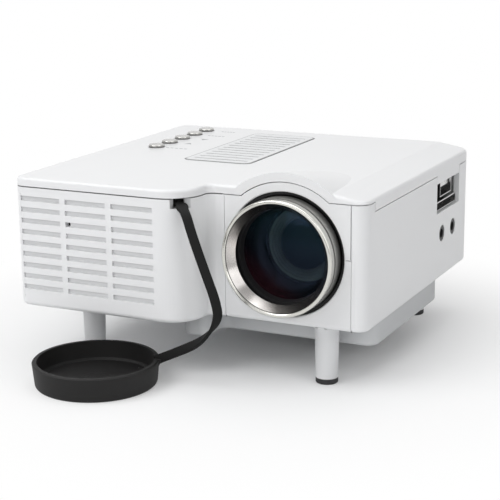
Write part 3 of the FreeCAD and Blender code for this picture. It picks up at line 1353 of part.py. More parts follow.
def smoothRoute(points):
    """Straight runs joined by tangent arcs: radius = 0.45 x the shorter run / tan(half the turn)."""
    places = [Vector(*point) for point in points]
    edges = []
    last = places[0]
    for before, corner, after in zip(places, places[1:], places[2:]):
        entry, leave = (before - corner), (after - corner)
        trim = 0.45 * min(entry.Length, leave.Length)
        turn = math.pi - entry.getAngle(leave)
        radius = trim / math.tan(turn / 2)
        start = corner + entry.normalize() * trim
        finish = corner + leave.normalize() * trim
        middle = corner + (entry + leave).normalize() * (radius / math.cos(turn / 2) - radius)
        edges.append(Part.LineSegment(last, start).toShape())
        edges.append(Part.Arc(start, middle, finish).toShape())
        print(f"strap turn {math.degrees(turn):.0f} deg, radius {radius:.1f} mm")
        last = finish
    edges.append(Part.LineSegment(last, places[-1]).toShape())
    return Part.Wire(edges)


def makeCapAndStrap():
    cap = newBody("lens_cap")
    profile = sketchOn(cap, "capProfile", "XZ_Plane")
    path(profile, [
        ("0", "0"),
        ("capRadius - capTaper - capEdge", "0", "capEdge", 1),
        ("capRadius - capTaper", "capEdge"),
        ("capRadius", "capHeight - 0.4"),
        ("capRadius - 0.4", "capHeight"),
        ("capRadius - capWall", "capHeight"),
        ("capRadius - capWall - capTaper / 2", "capFloor + 0.8"),
        ("capRadius - capWall - capTaper / 2 - 0.8", "capFloor"),
        ("0", "capFloor"),
    ])
    shape = cap.newObject("PartDesign::Revolution", "capTurn")
    shape.Profile = profile
    shape.ReferenceAxis = (profile, ["V_Axis"])
    shape.Angle = 360.0
    lug = sketchOn(cap, "capLug", "XY_Plane", "capHeight - lugHeight")
    path(lug, [
        ("capRadius - 1", "-lugWidth"),
        ("capRadius + lugReach", "-lugWidth / 2"),
        ("capRadius + lugReach", "lugWidth / 2"),
        ("capRadius - 1", "lugWidth"),
    ])
    pad(cap, lug, "lugHeight")
    turn = Rotation(Vector(0, 0, 1), amount("capTurn"))
    place(cap, "capX", "capY", "0", turn)
    keep(cap, "lens_cap")

    route = doc.addObject("Part::Feature", "strapRoute")
    route.Shape = smoothRoute(STRAP_ROUTE)
    first, second = (Vector(*point) for point in STRAP_ROUTE[:2])
    along = Rotation(Vector(0, 0, 1), second - first)
    ring = doc.addObject("Part::Circle", "strapSection")
    drive(ring, "Radius", "strapRadius")
    ring.Placement = Placement(first, along)
    strap = doc.addObject("Part::Sweep", "cap_strap")
    strap.Sections = [ring]
    strap.Spine = (route, [f"Edge{n}" for n in range(1, len(route.Shape.Edges) + 1)])
    strap.Solid = True
    strap.Frenet = False
    keep(strap, "cap_strap")

    knob = doc.addObject("Part::Cylinder", "strapKnob")
    drive(knob, "Radius", "anchorRadius")
    drive(knob, "Height", "anchorLength")
    level = Vector(first.x - second.x, first.y - second.y, 0).normalize()
    knob.Placement = Placement(first + level * SIZES["anchorGap"], Rotation(Vector(0, 0, 1), level))
    keep(knob, "strap_anchor")
    return route, strap


makeHousing()
makeLid()
makeGrip()
makeBezel()
makeTub()
makeButtons()
makeKeypad()
makeLens()
makeEngine()
makeFan()
makeBoards()
makeSpeaker()
makeLegs()
makeScrews()
strapLine, strapTube = makeCapAndStrap()
doc.recompute()

# ---------------------------------------------------------------- checks and files

length = strapLine.Shape.Length
section = math.pi * SIZES["strapRadius"] ** 2
print(f"strap {length:.1f} mm long, volume {strapTube.Shape.Volume:.1f} mm3")
print(f"strap section x length {section * length:.1f} mm3")

faults = [f"{thing.Name}: {thing.State}" for thing in doc.Objects
          if "Invalid" in thing.State or "Error" in thing.State]
for thing in NODES:
    if thing.Shape.isNull() or not thing.Shape.isValid() or not thing.Shape.Solids:
        faults.append(f"{thing.Label}: no valid solid")
if faults:
    raise RuntimeError("; ".join(faults))

os.makedirs("parts", exist_ok=True)
for thing in NODES:
    thing.Shape.exportStep(f"parts/{thing.Label}.step")
print(f"{len(NODES)} sub-parts written")
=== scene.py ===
import json
import math

import bmesh
import bpy
import numpy as np
from mathutils import Matrix, Vector
from mathutils.bvhtree import BVHTree


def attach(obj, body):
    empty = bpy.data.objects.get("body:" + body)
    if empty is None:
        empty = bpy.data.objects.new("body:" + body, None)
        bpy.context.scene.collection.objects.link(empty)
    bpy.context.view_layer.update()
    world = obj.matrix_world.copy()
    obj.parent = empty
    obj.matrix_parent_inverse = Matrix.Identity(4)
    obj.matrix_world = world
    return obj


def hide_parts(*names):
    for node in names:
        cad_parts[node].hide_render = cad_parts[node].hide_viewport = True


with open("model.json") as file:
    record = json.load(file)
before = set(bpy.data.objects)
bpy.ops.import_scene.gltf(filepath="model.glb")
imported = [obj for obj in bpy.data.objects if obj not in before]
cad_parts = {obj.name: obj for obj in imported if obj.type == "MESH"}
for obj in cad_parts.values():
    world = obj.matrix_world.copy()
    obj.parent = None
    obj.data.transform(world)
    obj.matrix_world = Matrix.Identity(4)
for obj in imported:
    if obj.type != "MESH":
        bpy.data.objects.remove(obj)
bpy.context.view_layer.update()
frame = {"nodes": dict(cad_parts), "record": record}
nodes = frame["nodes"]
scene = bpy.context.scene
print("frame loaded:", len(nodes), "parts")

mm = 0.001  # the sizes below are in millimetres unless a note says otherwise

view = {
    "place": (222.0, -461.7, 160.9),
    "yaw": 25.86,  # degrees, swung to the left from straight ahead
    "pitch": 14.04,  # degrees below level
    "roll": -0.6,
    "lens": 100.8,
    "sensor": 36,
    "nearest": 10,  # nothing closer to the camera is seen
}


def makeCamera():
    # right, up and back vectors from the three angles, then the roll about the line of sight
    yaw, pitch, roll = (math.radians(view[name]) for name in ("yaw", "pitch", "roll"))
    level = math.cos(pitch)
    ahead = Vector((-math.sin(yaw) * level, math.cos(yaw) * level, -math.sin(pitch)))
    right = Vector((math.cos(yaw), math.sin(yaw), 0))
    up = right.cross(ahead)
    tiltedRight = right * math.cos(roll) + up * math.sin(roll)
    tiltedUp = up * math.cos(roll) - right * math.sin(roll)
    data = bpy.data.cameras.new("camera")
    data.lens = view["lens"]
    data.sensor_width = view["sensor"]
    data.clip_start = view["nearest"] * mm
    camera = bpy.data.objects.new("camera", data)
    turn = Matrix((tiltedRight, tiltedUp, -ahead)).transposed().to_4x4()
    camera.matrix_world = Matrix.Translation(Vector(view["place"]) * mm) @ turn
    scene.collection.objects.link(camera)
    scene.camera = camera


lamps = {
    "key": {"place": (-330, -430, 640), "aim": (0, 0, 40), "size": (520, 420), "power": 2.9},
    "fill": {"place": (640, -260, 360), "aim": (30, 0, 40), "size": (420, 420), "power": 0.9},
    "top": {"place": (60, 60, 700), "aim": (0, 0, 40), "size": (600, 600), "power": 1.9},
    "front": {"place": (40, -800, 330), "aim": (10, -50, 40), "size": (700, 260), "power": 1.5},
}


def makeLights():
    for name, values in lamps.items():
        data = bpy.data.lights.new(name + "Light", "AREA")
        data.shape = "RECTANGLE"
        data.size, data.size_y = (side * mm for side in values["size"])
        data.energy = values["power"]
        lamp = bpy.data.objects.new(name + "Light", data)
        place, aim = Vector(values["place"]) * mm, Vector(values["aim"]) * mm
        lamp.location = place
        lamp.rotation_euler = (aim - place).to_track_quat("-Z", "Y").to_euler()
        scene.collection.objects.link(lamp)


def openTree(owner):
    owner.use_nodes = True
    tree = owner.node_tree
    tree.nodes.clear()
    return tree


def feed(tree, socket, value):
    # a link from another node's output, a colour, or a plain number
    if isinstance(value, bpy.types.NodeSocket):
        tree.links.new(value, socket)
    elif socket.type == "RGBA":
        socket.default_value = (*value, 1)
    else:
        socket.default_value = value


def calc(tree, operation, *values):
    # a Math node whose inputs are numbers or other nodes' outputs
    node = tree.nodes.new("ShaderNodeMath")
    node.operation = operation
    for socket, value in zip(node.inputs, values):
        feed(tree, socket, value)
    return node.outputs[0]


def ramp(tree, value, span, result=(0, 1), smooth=False):
    # a value carried from one range to another and held at its ends
    node = tree.nodes.new("ShaderNodeMapRange")
    node.interpolation_type = "SMOOTHSTEP" if smooth else "LINEAR"
    labels = ("Value", "From Min", "From Max", "To Min", "To Max")
    for label, amount in zip(labels, (value, *span, *result)):
        feed(tree, node.inputs[label], amount)
    return node.outputs["Result"]


def product(tree, first, *others):
    # several values multiplied
    for other in others:
        first = calc(tree, "MULTIPLY", first, other)
    return first


room = {
    "lit": 0.16,  # strength as light
    "front": 0.28,  # strength in reflections of the room's front
    "behind": 1.0,
    "turn": (-0.9, 0.2),  # from the front to where the room is as bright as behind
}


def makeWorld():
    # white to the camera, darker towards the front in reflections, soft as light
    world = bpy.data.worlds.new("studioWorld")
    scene.world = world
    tree = openTree(world)
    path = tree.nodes.new("ShaderNodeLightPath").outputs
    place = tree.nodes.new("ShaderNodeTexCoord")
    parts = tree.nodes.new("ShaderNodeSeparateXYZ")
    background = tree.nodes.new("ShaderNodeBackground")
    output = tree.nodes.new("ShaderNodeOutputWorld")
    tree.links.new(place.outputs["Generated"], parts.inputs[0])
    mirrored = ramp(tree, parts.outputs["Y"], room["turn"], (room["front"], room["behind"]), True)
    unseen = ramp(tree, path["Is Glossy Ray"], (0, 1), (room["lit"], mirrored))
    seen = calc(tree, "MAXIMUM", path["Is Camera Ray"], path["Is Transmission Ray"])
    feed(tree, background.inputs["Color"], (1, 1, 1))
    feed(tree, background.inputs["Strength"], ramp(tree, seen, (0, 1), (unseen, 1)))
    tree.links.new(background.outputs[0], output.inputs["Surface"])


floor = {
    "size": 6000,
    "colour": (0.93, 0.935, 0.94),
    "dull": 25,  # up to this far from the middle the floor is plain paper
    "white": 160,  # from here on the camera sees it as plain white
}


def makeFloor():
    # a flat square of paper that turns plain white away from the object
    half = floor["size"] * mm / 2
    corners = [(-half, -half, 0), (half, -half, 0), (half, half, 0), (-half, half, 0)]
    mesh = bpy.data.meshes.new("floor")
    mesh.from_pydata(corners, [], [(0, 1, 2, 3)])
    plane = bpy.data.objects.new("floor", mesh)
    scene.collection.objects.link(plane)
    material = bpy.data.materials.new("floorPaper")
    tree = openTree(material)
    paper = tree.nodes.new("ShaderNodeBsdfDiffuse")
    feed(tree, paper.inputs["Color"], floor["colour"])
    glow = tree.nodes.new("ShaderNodeEmission")
    path = tree.nodes.new("ShaderNodeLightPath").outputs
    reach = tree.nodes.new("ShaderNodeVectorMath")
    reach.operation = "LENGTH"
    mix = tree.nodes.new("ShaderNodeMixShader")
    output = tree.nodes.new("ShaderNodeOutputMaterial")
    feed(tree, reach.inputs[0], tree.nodes.new("ShaderNodeTexCoord").outputs["Object"])
    span = (floor["dull"] * mm, floor["white"] * mm)
    lift = ramp(tree, reach.outputs["Value"], span, smooth=True)
    seen = calc(tree, "MAXIMUM", path["Is Camera Ray"], path["Is Glossy Ray"])
    seen = calc(tree, "MAXIMUM", seen, path["Is Transmission Ray"])
    feed(tree, mix.inputs["Fac"], product(tree, seen, lift))
    tree.links.new(paper.outputs[0], mix.inputs[1])
    tree.links.new(glow.outputs[0], mix.inputs[2])
    tree.links.new(mix.outputs[0], output.inputs["Surface"])
    mesh.materials.append(material)


makeCamera()
makeLights()
makeWorld()
makeFloor()
scene.view_settings.view_transform = "Standard"
print("camera, light and floor set")


def addPiece(name, points, faces, body, material, smooth=True):
    # points in metres, one row each
    mesh = bpy.data.meshes.new(name)
    mesh.from_pydata(np.asarray(points, float).tolist(), [], faces)
    mesh.polygons.foreach_set("use_smooth", np.full(len(mesh.polygons), smooth))
    mesh.materials.append(material)
    mesh.update()
    piece = bpy.data.objects.new(name, mesh)
    scene.collection.objects.link(piece)
    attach(piece, body)
    return piece


def gridFaces(rows, columns):
    # quads between neighbouring rows of a grid whose columns close into a ring
    i, j = np.meshgrid(np.arange(rows - 1), np.arange(columns), indexing="ij")
    k = (j + 1) % columns
    below, above = i * columns, (i + 1) * columns
    return np.stack([below + j, below + k, above + k, above + j], -1).reshape(-1, 4).tolist()


def newMaterial(name, colour, roughness=0.5, metallic=0.0, **others):
    # a Principled material whose plain values sit on its own sockets
    material = bpy.data.materials.new(name)
    tree = openTree(material)
    shader = tree.nodes.new("ShaderNodeBsdfPrincipled")
    shader.name = "surface"
    output = tree.nodes.new("ShaderNodeOutputMaterial")
    tree.links.new(shader.outputs["BSDF"], output.inputs["Surface"])
    values = {"Base_Color": colour, "Roughness": roughness, "Metallic": metallic, **others}
    for label, value in values.items():
        feed(tree, shader.inputs[label.replace("_", " ")], value)
    return material


def paint(material, colour):
    # a worked out colour takes the place of the plain one
    tree = material.node_tree
    tree.links.new(colour, tree.nodes["surface"].inputs["Base Color"])
    return material


def newGroup(name, inputs, outputs):
    # named inputs with their values and named outputs, all of them numbers but "Colour"
    group = bpy.data.node_groups.new(name, "ShaderNodeTree")
    kinds = {label: "NodeSocketFloat" for label in (*inputs, *outputs)}
    kinds["Colour"] = "NodeSocketColor"
    for label, value in inputs.items():
        socket = group.interface.new_socket(label, in_out="INPUT", socket_type=kinds[label])
        socket.default_value = value
    for label in outputs:
        group.interface.new_socket(label, in_out="OUTPUT", socket_type=kinds[label])
    given = group.nodes.new("NodeGroupInput").outputs
    return group, given, group.nodes.new("NodeGroupOutput").inputs


def objectPlace(tree):
    return tree.nodes.new("ShaderNodeTexCoord").outputs["Object"]


def millimetres(tree):
    # the object's own x, y and z in mm
    inMm = tree.nodes.new("ShaderNodeVectorMath")
    inMm.operation = "SCALE"
    inMm.inputs["Scale"].default_value = 1 / mm
    parts = tree.nodes.new("ShaderNodeSeparateXYZ")
    tree.links.new(objectPlace(tree), inMm.inputs[0])
    tree.links.new(inMm.outputs[0], parts.inputs[0])
    return [parts.outputs[name] for name in "XYZ"]


def reachOf(tree, first, second):
    # the square root of the sum of two squares
    squares = calc(tree, "MULTIPLY_ADD", first, first, product(tree, second, second))
    return calc(tree, "SQRT", squares)


def noise(tree, place, scale, layers):
    # a soft random value between 0 and 1
    node = tree.nodes.new("ShaderNodeTexNoise")
    for label, value in (("Vector", place), ("Scale", scale), ("Detail", layers)):
        feed(tree, node.inputs[label], value)
    return node.outputs["Fac"]


def darkened(tree, share, colour):
    # a colour brought down to a share of itself
    tone = tree.nodes.new("ShaderNodeVectorMath")
    tone.operation = "SCALE"
    feed(tree, tone.inputs[0], colour)
    feed(tree, tone.inputs["Scale"], share)
    return tone.outputs[0]


def toneWhere(tree, mask, tone):
    # the tone where the mask is one, and one where it is nothing
    change = tone - 1 if isinstance(tone, float) else calc(tree, "SUBTRACT", tone, 1.0)
    return calc(tree, "MULTIPLY_ADD", mask, change, 1.0)


def within(tree, value, low, high):
    # one between the two limits, nothing outside them
    above = calc(tree, "GREATER_THAN", value, low)
    return product(tree, above, calc(tree, "LESS_THAN", value, high))


def withinBox(tree, first, second, box):
    # one inside a rectangle given by its limits along both ways
    return product(tree, within(tree, first, *box[0]), within(tree, second, *box[1]))


def mixColour(tree, share, first, second):
    # the first colour, with a share of the second in its place
    mix = tree.nodes.new("ShaderNodeMix")
    mix.data_type = "RGBA"
    for index, value in ((0, share), (6, first), (7, second)):
        feed(tree, mix.inputs[index], value)
    return mix.outputs[2]


def rampColour(tree, value, stops):
    # colours along a value that runs from 0 to 1
    node = tree.nodes.new("ShaderNodeValToRGB")
    elements = node.color_ramp.elements
    while len(elements) < len(stops):
        elements.new(0.5)
    for element, (place, colour) in zip(elements, stops):
        element.position = place
        element.color = (*colour, 1)
    tree.links.new(value, node.inputs["Fac"])
    return node.outputs["Color"]


lensAxis = (34.1, 45.4)  # x and z of the line through the lens
capMiddle = (-25.5, -73.4)  # x and y of the middle of the cap

noiseLayers = {"grain": 3, "cloud": 4, "lines": 2, "polish": 2}  # how many finer ones each adds
polishScale = 70


def makeGrainGroup():
    # fine moulded grain as a height, and a slow cloud that varies gloss and colour
    group, given, result = newGroup(
        "mouldGrain",
        {"Grain Scale": 2500.0, "Cloud Scale": 35.0, "Roughness": 0.4, "Roughness Spread": 0.06,
         "Colour": (0.8, 0.8, 0.8, 1), "Shade": 0.03},
        ("Colour", "Roughness", "Height"),
    )
    place = objectPlace(group)
    grain = noise(group, place, given["Grain Scale"], noiseLayers["grain"])
    cloud = noise(group, place, given["Cloud Scale"], noiseLayers["cloud"])
    centred = calc(group, "SUBTRACT", cloud, 0.5)
    gloss = calc(group, "MULTIPLY_ADD", centred, given["Roughness Spread"], given["Roughness"])
    share = calc(group, "MULTIPLY_ADD", centred, given["Shade"], 1.0)
    feed(group, result["Colour"], darkened(group, share, given["Colour"]))
    feed(group, result["Roughness"], gloss)
    feed(group, result["Height"], grain)
    return group


def makeLatheGroup():
    # fine turned lines: noise stretched along the circles round the lens axis
    group, given, result = newGroup(
        "latheLines",
        {"Fineness": 9.0, "Roughness": 0.3, "Roughness Spread": 0.12,
         "Centre X": lensAxis[0], "Centre Z": lensAxis[1]},
        ("Roughness", "Height", "Radius", "Along", "Cloud"),
    )
    x, along, z = millimetres(group)
    across = calc(group, "SUBTRACT", x, given["Centre X"])
    upward = calc(group, "SUBTRACT", z, given["Centre Z"])
    radius = reachOf(group, across, upward)
    vector = group.nodes.new("ShaderNodeCombineXYZ")
    feed(group, vector.inputs["X"], radius)
    feed(group, vector.inputs["Y"], along)
    lines = noise(group, vector.outputs[0], given["Fineness"], noiseLayers["lines"])
    cloud = noise(group, objectPlace(group), polishScale, noiseLayers["polish"])
    centred = calc(group, "SUBTRACT", lines, 0.5)
    gloss = calc(group, "MULTIPLY_ADD", centred, given["Roughness Spread"], given["Roughness"])
    for label, value in (("Roughness", gloss), ("Height", lines), ("Radius", radius),
                         ("Along", along), ("Cloud", cloud)):
        feed(group, result[label], value)
    return group


grainGroup = makeGrainGroup()
latheGroup = makeLatheGroup()


def placeGroup(material, group, depth, height, values):
    # a group's node with its own values, its gloss and its bump on the surface
    tree = material.node_tree
    surface = tree.nodes["surface"]
    node = tree.nodes.new("ShaderNodeGroup")
    node.node_tree = group
    node.name = "finish"
    node.inputs["Roughness"].default_value = surface.inputs["Roughness"].default_value
    for label, value in values.items():
        node.inputs[label].default_value = value
    bump = tree.nodes.new("ShaderNodeBump")
    bump.name = "bump"
    bump.inputs["Strength"].default_value = depth
    bump.inputs["Distance"].default_value = height * mm
    tree.links.new(node.outputs["Roughness"], surface.inputs["Roughness"])
    tree.links.new(node.outputs["Height"], bump.inputs["Height"])
    tree.links.new(bump.outputs["Normal"], surface.inputs["Normal"])
    return node.outputs


def addGrain(material, grainScale=2500, spread=0.08, shade=0.04, height=0.02, depth=0.1):
    plain = material.node_tree.nodes["surface"].inputs["Base Color"].default_value
    grain = placeGroup(material, grainGroup, depth, height, {
        "Grain Scale": grainScale, "Roughness Spread": spread, "Shade": shade, "Colour": plain})
    return paint(material, grain["Colour"])


def addLathe(material, fineness, spread, depth=0.2, height=0.01):
    return placeGroup(material, latheGroup, depth, height,
                      {"Fineness": fineness, "Roughness Spread": spread})


ringFinish = {
    # the lip's lighter colour is a painted highlight and the groove's near black is painted shade
    "lip": (0.66, 0.655, 0.615),
    "cone": (0.53, 0.51, 0.495),
    "grooveShadow": (0.05, 0.048, 0.045),
    "grooveRun": (18.12, 19.12),  # radii across which the cone, the groove and the lip follow
    "bands": [(0.36, "cone"), (0.44, "grooveShadow"), (0.54, "grooveShadow"), (0.62, "lip")],
    "coneEnd": 0.4,
    "patchRun": (0.3, 0.7),
    "paintedReflections": (0.5, 1.3),  # brightness of the painted dark and of the painted bright reflections
}


def makeSteelRing():
    # beige silver lip painted brighter as a highlight, a painted shadow line in the groove, and a
    # cone whose painted reflections come and go round the circle
    material = newMaterial("steelRing", ringFinish["lip"], 0.2, 1.0)
    tree = material.node_tree
    lathe = addLathe(material, fineness=7, spread=0.16)
    run = ramp(tree, lathe["Radius"], ringFinish["grooveRun"])
    colour = rampColour(tree, run, [(at, ringFinish[name]) for at, name in ringFinish["bands"]])
    paintedReflection = ramp(tree, lathe["Cloud"], ringFinish["patchRun"], ringFinish["paintedReflections"])
    onCone = calc(tree, "LESS_THAN", run, ringFinish["coneEnd"])
    return paint(material, darkened(tree, toneWhere(tree, onCone, paintedReflection), colour))


barrelFinish = {
    "front": (0.60, 0.595, 0.57),
    "side": (0.46, 0.46, 0.445),
    "paintedShade": (0.07, 0.068, 0.065),
    "line": (0.62, 0.61, 0.58),
    "run": (-52.6, -46.6),  # from the ring back into the housing
    # the paler front, the dark bands and the pale line are painted light and shade
    "bands": [(0.05, "front"), (0.09, "paintedShade"), (0.13, "paintedShade"), (0.17, "front"), (0.88, "side"),
              (0.905, "paintedShade"), (0.93, "line"), (0.955, "paintedShade"), (1.0, "paintedShade")],
}


def makeDarkBarrel():
    # bands along the barrel, painted light and shade: a lit pale edge, painted shade in a groove,
    # the side painted greyer towards the housing, a thin pale line as a painted highlight, and
    # painted shade at the end in the well
    material = newMaterial("darkBarrel", barrelFinish["side"], 0.34, 0.9)
    tree = material.node_tree
    lathe = addLathe(material, fineness=5, spread=0.14)
    run = ramp(tree, lathe["Along"], barrelFinish["run"])
    bands = [(at, barrelFinish[name]) for at, name in barrelFinish["bands"]]
    return paint(material, rampColour(tree, run, bands))


glassFinish = {
    "body": (0.004, 0.007, 0.012),
    "wineReflection": (0.036, 0.009, 0.014),
    "tealReflection": (0.006, 0.022, 0.028),
    "mirrorTint": (0.35, 0.5, 0.85),
    "wineWay": (-0.6, -0.8),  # the painted wine red reflection lies this way from the axis
    "wineRun": (6, 15),
    "tealLean": 0.3,  # how much the edge of the painted blue green reflection slopes
    "tealRun": (-2, 12),
    "rimRun": (12, 16.5),  # radii
    "alpha": (0.34, 0.6),  # in the middle and at the rim
}


def makeLensGlass():
    # glass: see-through, with a painted blue green reflection at the top and a painted wine red
    # reflection low on the left rim
    material = newMaterial("lensGlass", glassFinish["body"], 0.03, 0.0,
                           Specular_Tint=glassFinish["mirrorTint"], Specular_IOR_Level=0.35)
    tree = material.node_tree
    x, _, z = millimetres(tree)
    across, upward = (calc(tree, "SUBTRACT", *pair) for pair in zip((x, z), lensAxis))
    wayX, wayZ = glassFinish["wineWay"]
    toCorner = calc(tree, "MULTIPLY_ADD", across, wayX, product(tree, upward, wayZ))
    wineReflection = ramp(tree, toCorner, glassFinish["wineRun"], smooth=True)
    high = calc(tree, "MULTIPLY_ADD", across, glassFinish["tealLean"], upward)
    tealReflection = ramp(tree, high, glassFinish["tealRun"], smooth=True)
    withTealReflection = mixColour(tree, tealReflection, glassFinish["body"], glassFinish["tealReflection"])
    paint(material, mixColour(tree, wineReflection, withTealReflection, glassFinish["wineReflection"]))
    radius = reachOf(tree, across, upward)
    alpha = ramp(tree, radius, glassFinish["rimRun"], glassFinish["alpha"], smooth=True)
    tree.links.new(alpha, tree.nodes["surface"].inputs["Alpha"])
    return material


rubberFinish = {
    "colour": (0.011, 0.0105, 0.0105),
    "strapColour": (0.0065, 0.0065, 0.0065),
    "grain": {"grainScale": 1600, "spread": 0.1, "shade": 0.3, "depth": 0.35, "height": 0.05},
    "speck": (0.20, 0.195, 0.19),
    "speckScale": 230,
    "speckSize": 0.075,
    "speckFrom": 0.62,  # the share of places left clean
    "moulded": (3.6, 5.2),  # radii of the faint rings in the cap's floor
    "bead": (0.35, 3),  # half the width of such a ring, and its height in grains
}


def makeStrapRubber():
    # matt rubber with a fine grain
    material = newMaterial("strapRubber", rubberFinish["strapColour"], 0.65, Specular_IOR_Level=0.2)
    return addGrain(material, **rubberFinish["grain"])


def makeCapRubber():
    # matt rubber with grain and a few dust specks, and moulded rings in the cap's floor
    material = newMaterial("capRubber", rubberFinish["colour"], 0.6, Specular_IOR_Level=0.3)
    addGrain(material, **rubberFinish["grain"])
    tree = material.node_tree
    grain = tree.nodes["finish"].outputs
    dots = tree.nodes.new("ShaderNodeTexVoronoi")
    dots.inputs["Scale"].default_value = rubberFinish["speckScale"]
    tree.links.new(objectPlace(tree), dots.inputs["Vector"])
    near = calc(tree, "LESS_THAN", dots.outputs["Distance"], rubberFinish["speckSize"])
    chance = tree.nodes.new("ShaderNodeSeparateXYZ")
    tree.links.new(dots.outputs["Color"], chance.inputs[0])
    dusty = calc(tree, "GREATER_THAN", chance.outputs["X"], rubberFinish["speckFrom"])
    speck = product(tree, near, dusty)
    paint(material, mixColour(tree, speck, grain["Colour"], rubberFinish["speck"]))
    x, y, _ = millimetres(tree)
    across, along = (calc(tree, "SUBTRACT", *pair) for pair in zip((x, y), capMiddle))
    radius = reachOf(tree, across, along)
    width, rise = rubberFinish["bead"]
    height = grain["Height"]
    for ring in rubberFinish["moulded"]:
        off = calc(tree, "ABSOLUTE", calc(tree, "SUBTRACT", radius, ring))
        height = calc(tree, "ADD", height, ramp(tree, off, (0, width), (rise, 0), smooth=True))
    tree.links.new(height, tree.nodes["bump"].inputs["Height"])
    return material


shellTones = {
    "slots": 0.92,  # brightness of the painted shade in the vent slots
    "slotShade": 0.76,  # the same, a darker painted shadow along their upper edge
    "shadeRun": (0.25, 0.8),  # from the upper edge down
    "slotTop": 61.1,
    "slotPitch": 4.0,
    "slotBox": ((-60.8, -5.5), (24.0, 62.0)),  # x and z of the slots
    "slotRun": (-63.42, -63.1),  # from the face into the slots
    "slotEnd": -62.3,  # nothing deeper in is toned
    "seamShade": 0.35,  # brightness of the painted shade in the joint of lid and housing
    "seamRun": (64.2, 64.6),
    "seamFront": 11.0,  # the joint's right end in front
    "seamRear": (58.0, 60.0),  # its right end at the rear, and where the rear begins
}

panelTones = {
    "middle": (-10.5, 20.9),
    "half": (13.5, 31.5),
    "corner": 3.0,
    "frame": 0.55,  # brightness of the painted shade along the line round the panel
    "frameWidth": 0.5,
    "frameOverlap": 0.1,
    "frameFrom": 65.5,  # the line is on the lid only, above this height
    "borderWidth": 0.5,  # the part of the line that lies on the panel
    "ribShade": 0.66,  # brightness of the painted shade at the bottom of the grooves
    "ribRun": (67.25, 67.58),
    "lipShade": 0.80,  # brightness of the painted shade beside the grooves
    "lipRun": (0.6, 0.85),  # from a groove's middle
    "firstRib": -6.15,
    "ribPitch": 4.8,
    "ribBox": ((-21.5, 0.5), (-7.2, 47.7)),
}


def panelReach(tree, x, y):
    # how far a point lies past the core of the panel's outline, a rectangle with round corners
    over = []
    for value, middle, half in zip((x, y), panelTones["middle"], panelTones["half"]):
        off = calc(tree, "ABSOLUTE", calc(tree, "SUBTRACT", value, middle))
        past = calc(tree, "SUBTRACT", off, half - panelTones["corner"])
        over.append(calc(tree, "MAXIMUM", past, 0.0))
    return reachOf(tree, *over)


def toneShell(material):
    # painted shade in the vent slots, in the joint and along the line round the grip panel
    tree = material.node_tree
    x, y, z = millimetres(tree)
    slots = product(tree, withinBox(tree, x, z, shellTones["slotBox"]),
                    ramp(tree, y, shellTones["slotRun"]),
                    calc(tree, "LESS_THAN", y, shellTones["slotEnd"]))
    below = calc(tree, "SUBTRACT", shellTones["slotTop"], z)
    fromTop = calc(tree, "MODULO", below, shellTones["slotPitch"])
    shades = (shellTones["slotShade"], shellTones["slots"])
    slotTone = toneWhere(tree, slots, ramp(tree, fromTop, shellTones["shadeRun"], shades))
    # the joint between lid and housing gets painted shade
    rearEnd, behind = shellTones["seamRear"]
    atRear = product(tree, calc(tree, "GREATER_THAN", y, behind),
                     calc(tree, "LESS_THAN", x, rearEnd))
    atSeam = calc(tree, "MAXIMUM", calc(tree, "LESS_THAN", x, shellTones["seamFront"]), atRear)
    seamShade = product(tree, atSeam, within(tree, z, *shellTones["seamRun"]))
    # the line round the grip panel is painted shade
    inner = panelTones["corner"] - panelTones["frameOverlap"]
    outer = panelTones["corner"] + panelTones["frameWidth"]
    line = product(tree, within(tree, panelReach(tree, x, y), inner, outer),
                   calc(tree, "GREATER_THAN", z, panelTones["frameFrom"]))
    share = product(tree, slotTone, toneWhere(tree, seamShade, shellTones["seamShade"]),
                    toneWhere(tree, line, panelTones["frame"]))
    return paint(material, darkened(tree, share, tree.nodes["finish"].outputs["Colour"]))


def tonePanel(material):
    # painted shade in the grooves, on their lips and along the border
    tree = material.node_tree
    x, y, z = millimetres(tree)
    depth = ramp(tree, z, panelTones["ribRun"], (panelTones["ribShade"], 1))
    inner = panelTones["corner"] - panelTones["borderWidth"]
    border = calc(tree, "GREATER_THAN", panelReach(tree, x, y), inner)
    along = calc(tree, "SUBTRACT", y, panelTones["firstRib"])
    fromRib = calc(tree, "PINGPONG", along, panelTones["ribPitch"] / 2)
    lip = ramp(tree, fromRib, panelTones["lipRun"], (panelTones["lipShade"], 1))
    share = product(tree, depth, toneWhere(tree, border, panelTones["frame"]),
                    toneWhere(tree, withinBox(tree, x, y, panelTones["ribBox"]), lip))
    return paint(material, darkened(tree, share, tree.nodes["finish"].outputs["Colour"]))


keyFinish = {
    "colour": (0.47, 0.465, 0.45),
    "foot": 0.22,  # brightness of the painted shade where a key leaves the lid
    "rise": (67.65, 68.4),  # height of the foot and of the unshaded metal
}


def makeSilverKey():
    # silver lacquer, with painted shade darker towards the foot of each key
    material = newMaterial("silverKey", keyFinish["colour"], 0.2, 0.9)
    addGrain(material, grainScale=4000, depth=0.04)
    tree = material.node_tree
    tone = ramp(tree, millimetres(tree)[2], keyFinish["rise"], (keyFinish["foot"], 1))
    return paint(material, darkened(tree, tone, tree.nodes["finish"].outputs["Colour"]))


whiteShell = newMaterial("whiteShell", (0.83, 0.835, 0.845), 0.33,
                         Coat_Weight=0.15, Coat_Roughness=0.25)
whitePanel = newMaterial("whitePanel", (0.80, 0.81, 0.82), 0.42)
legLacquer = newMaterial("legLacquer", (0.74, 0.745, 0.755), 0.35)
blackPaint = addGrain(newMaterial("blackPaint", (0.006, 0.006, 0.007), 0.6), grainScale=3000)
rearGlass = newMaterial("rearGlass", (0.004, 0.006, 0.008), 0.04, Specular_IOR_Level=0.2,
                        Specular_Tint=(0.4, 0.6, 0.8))
legendInk = newMaterial("legendInk", (0.42, 0.43, 0.44), 0.5)

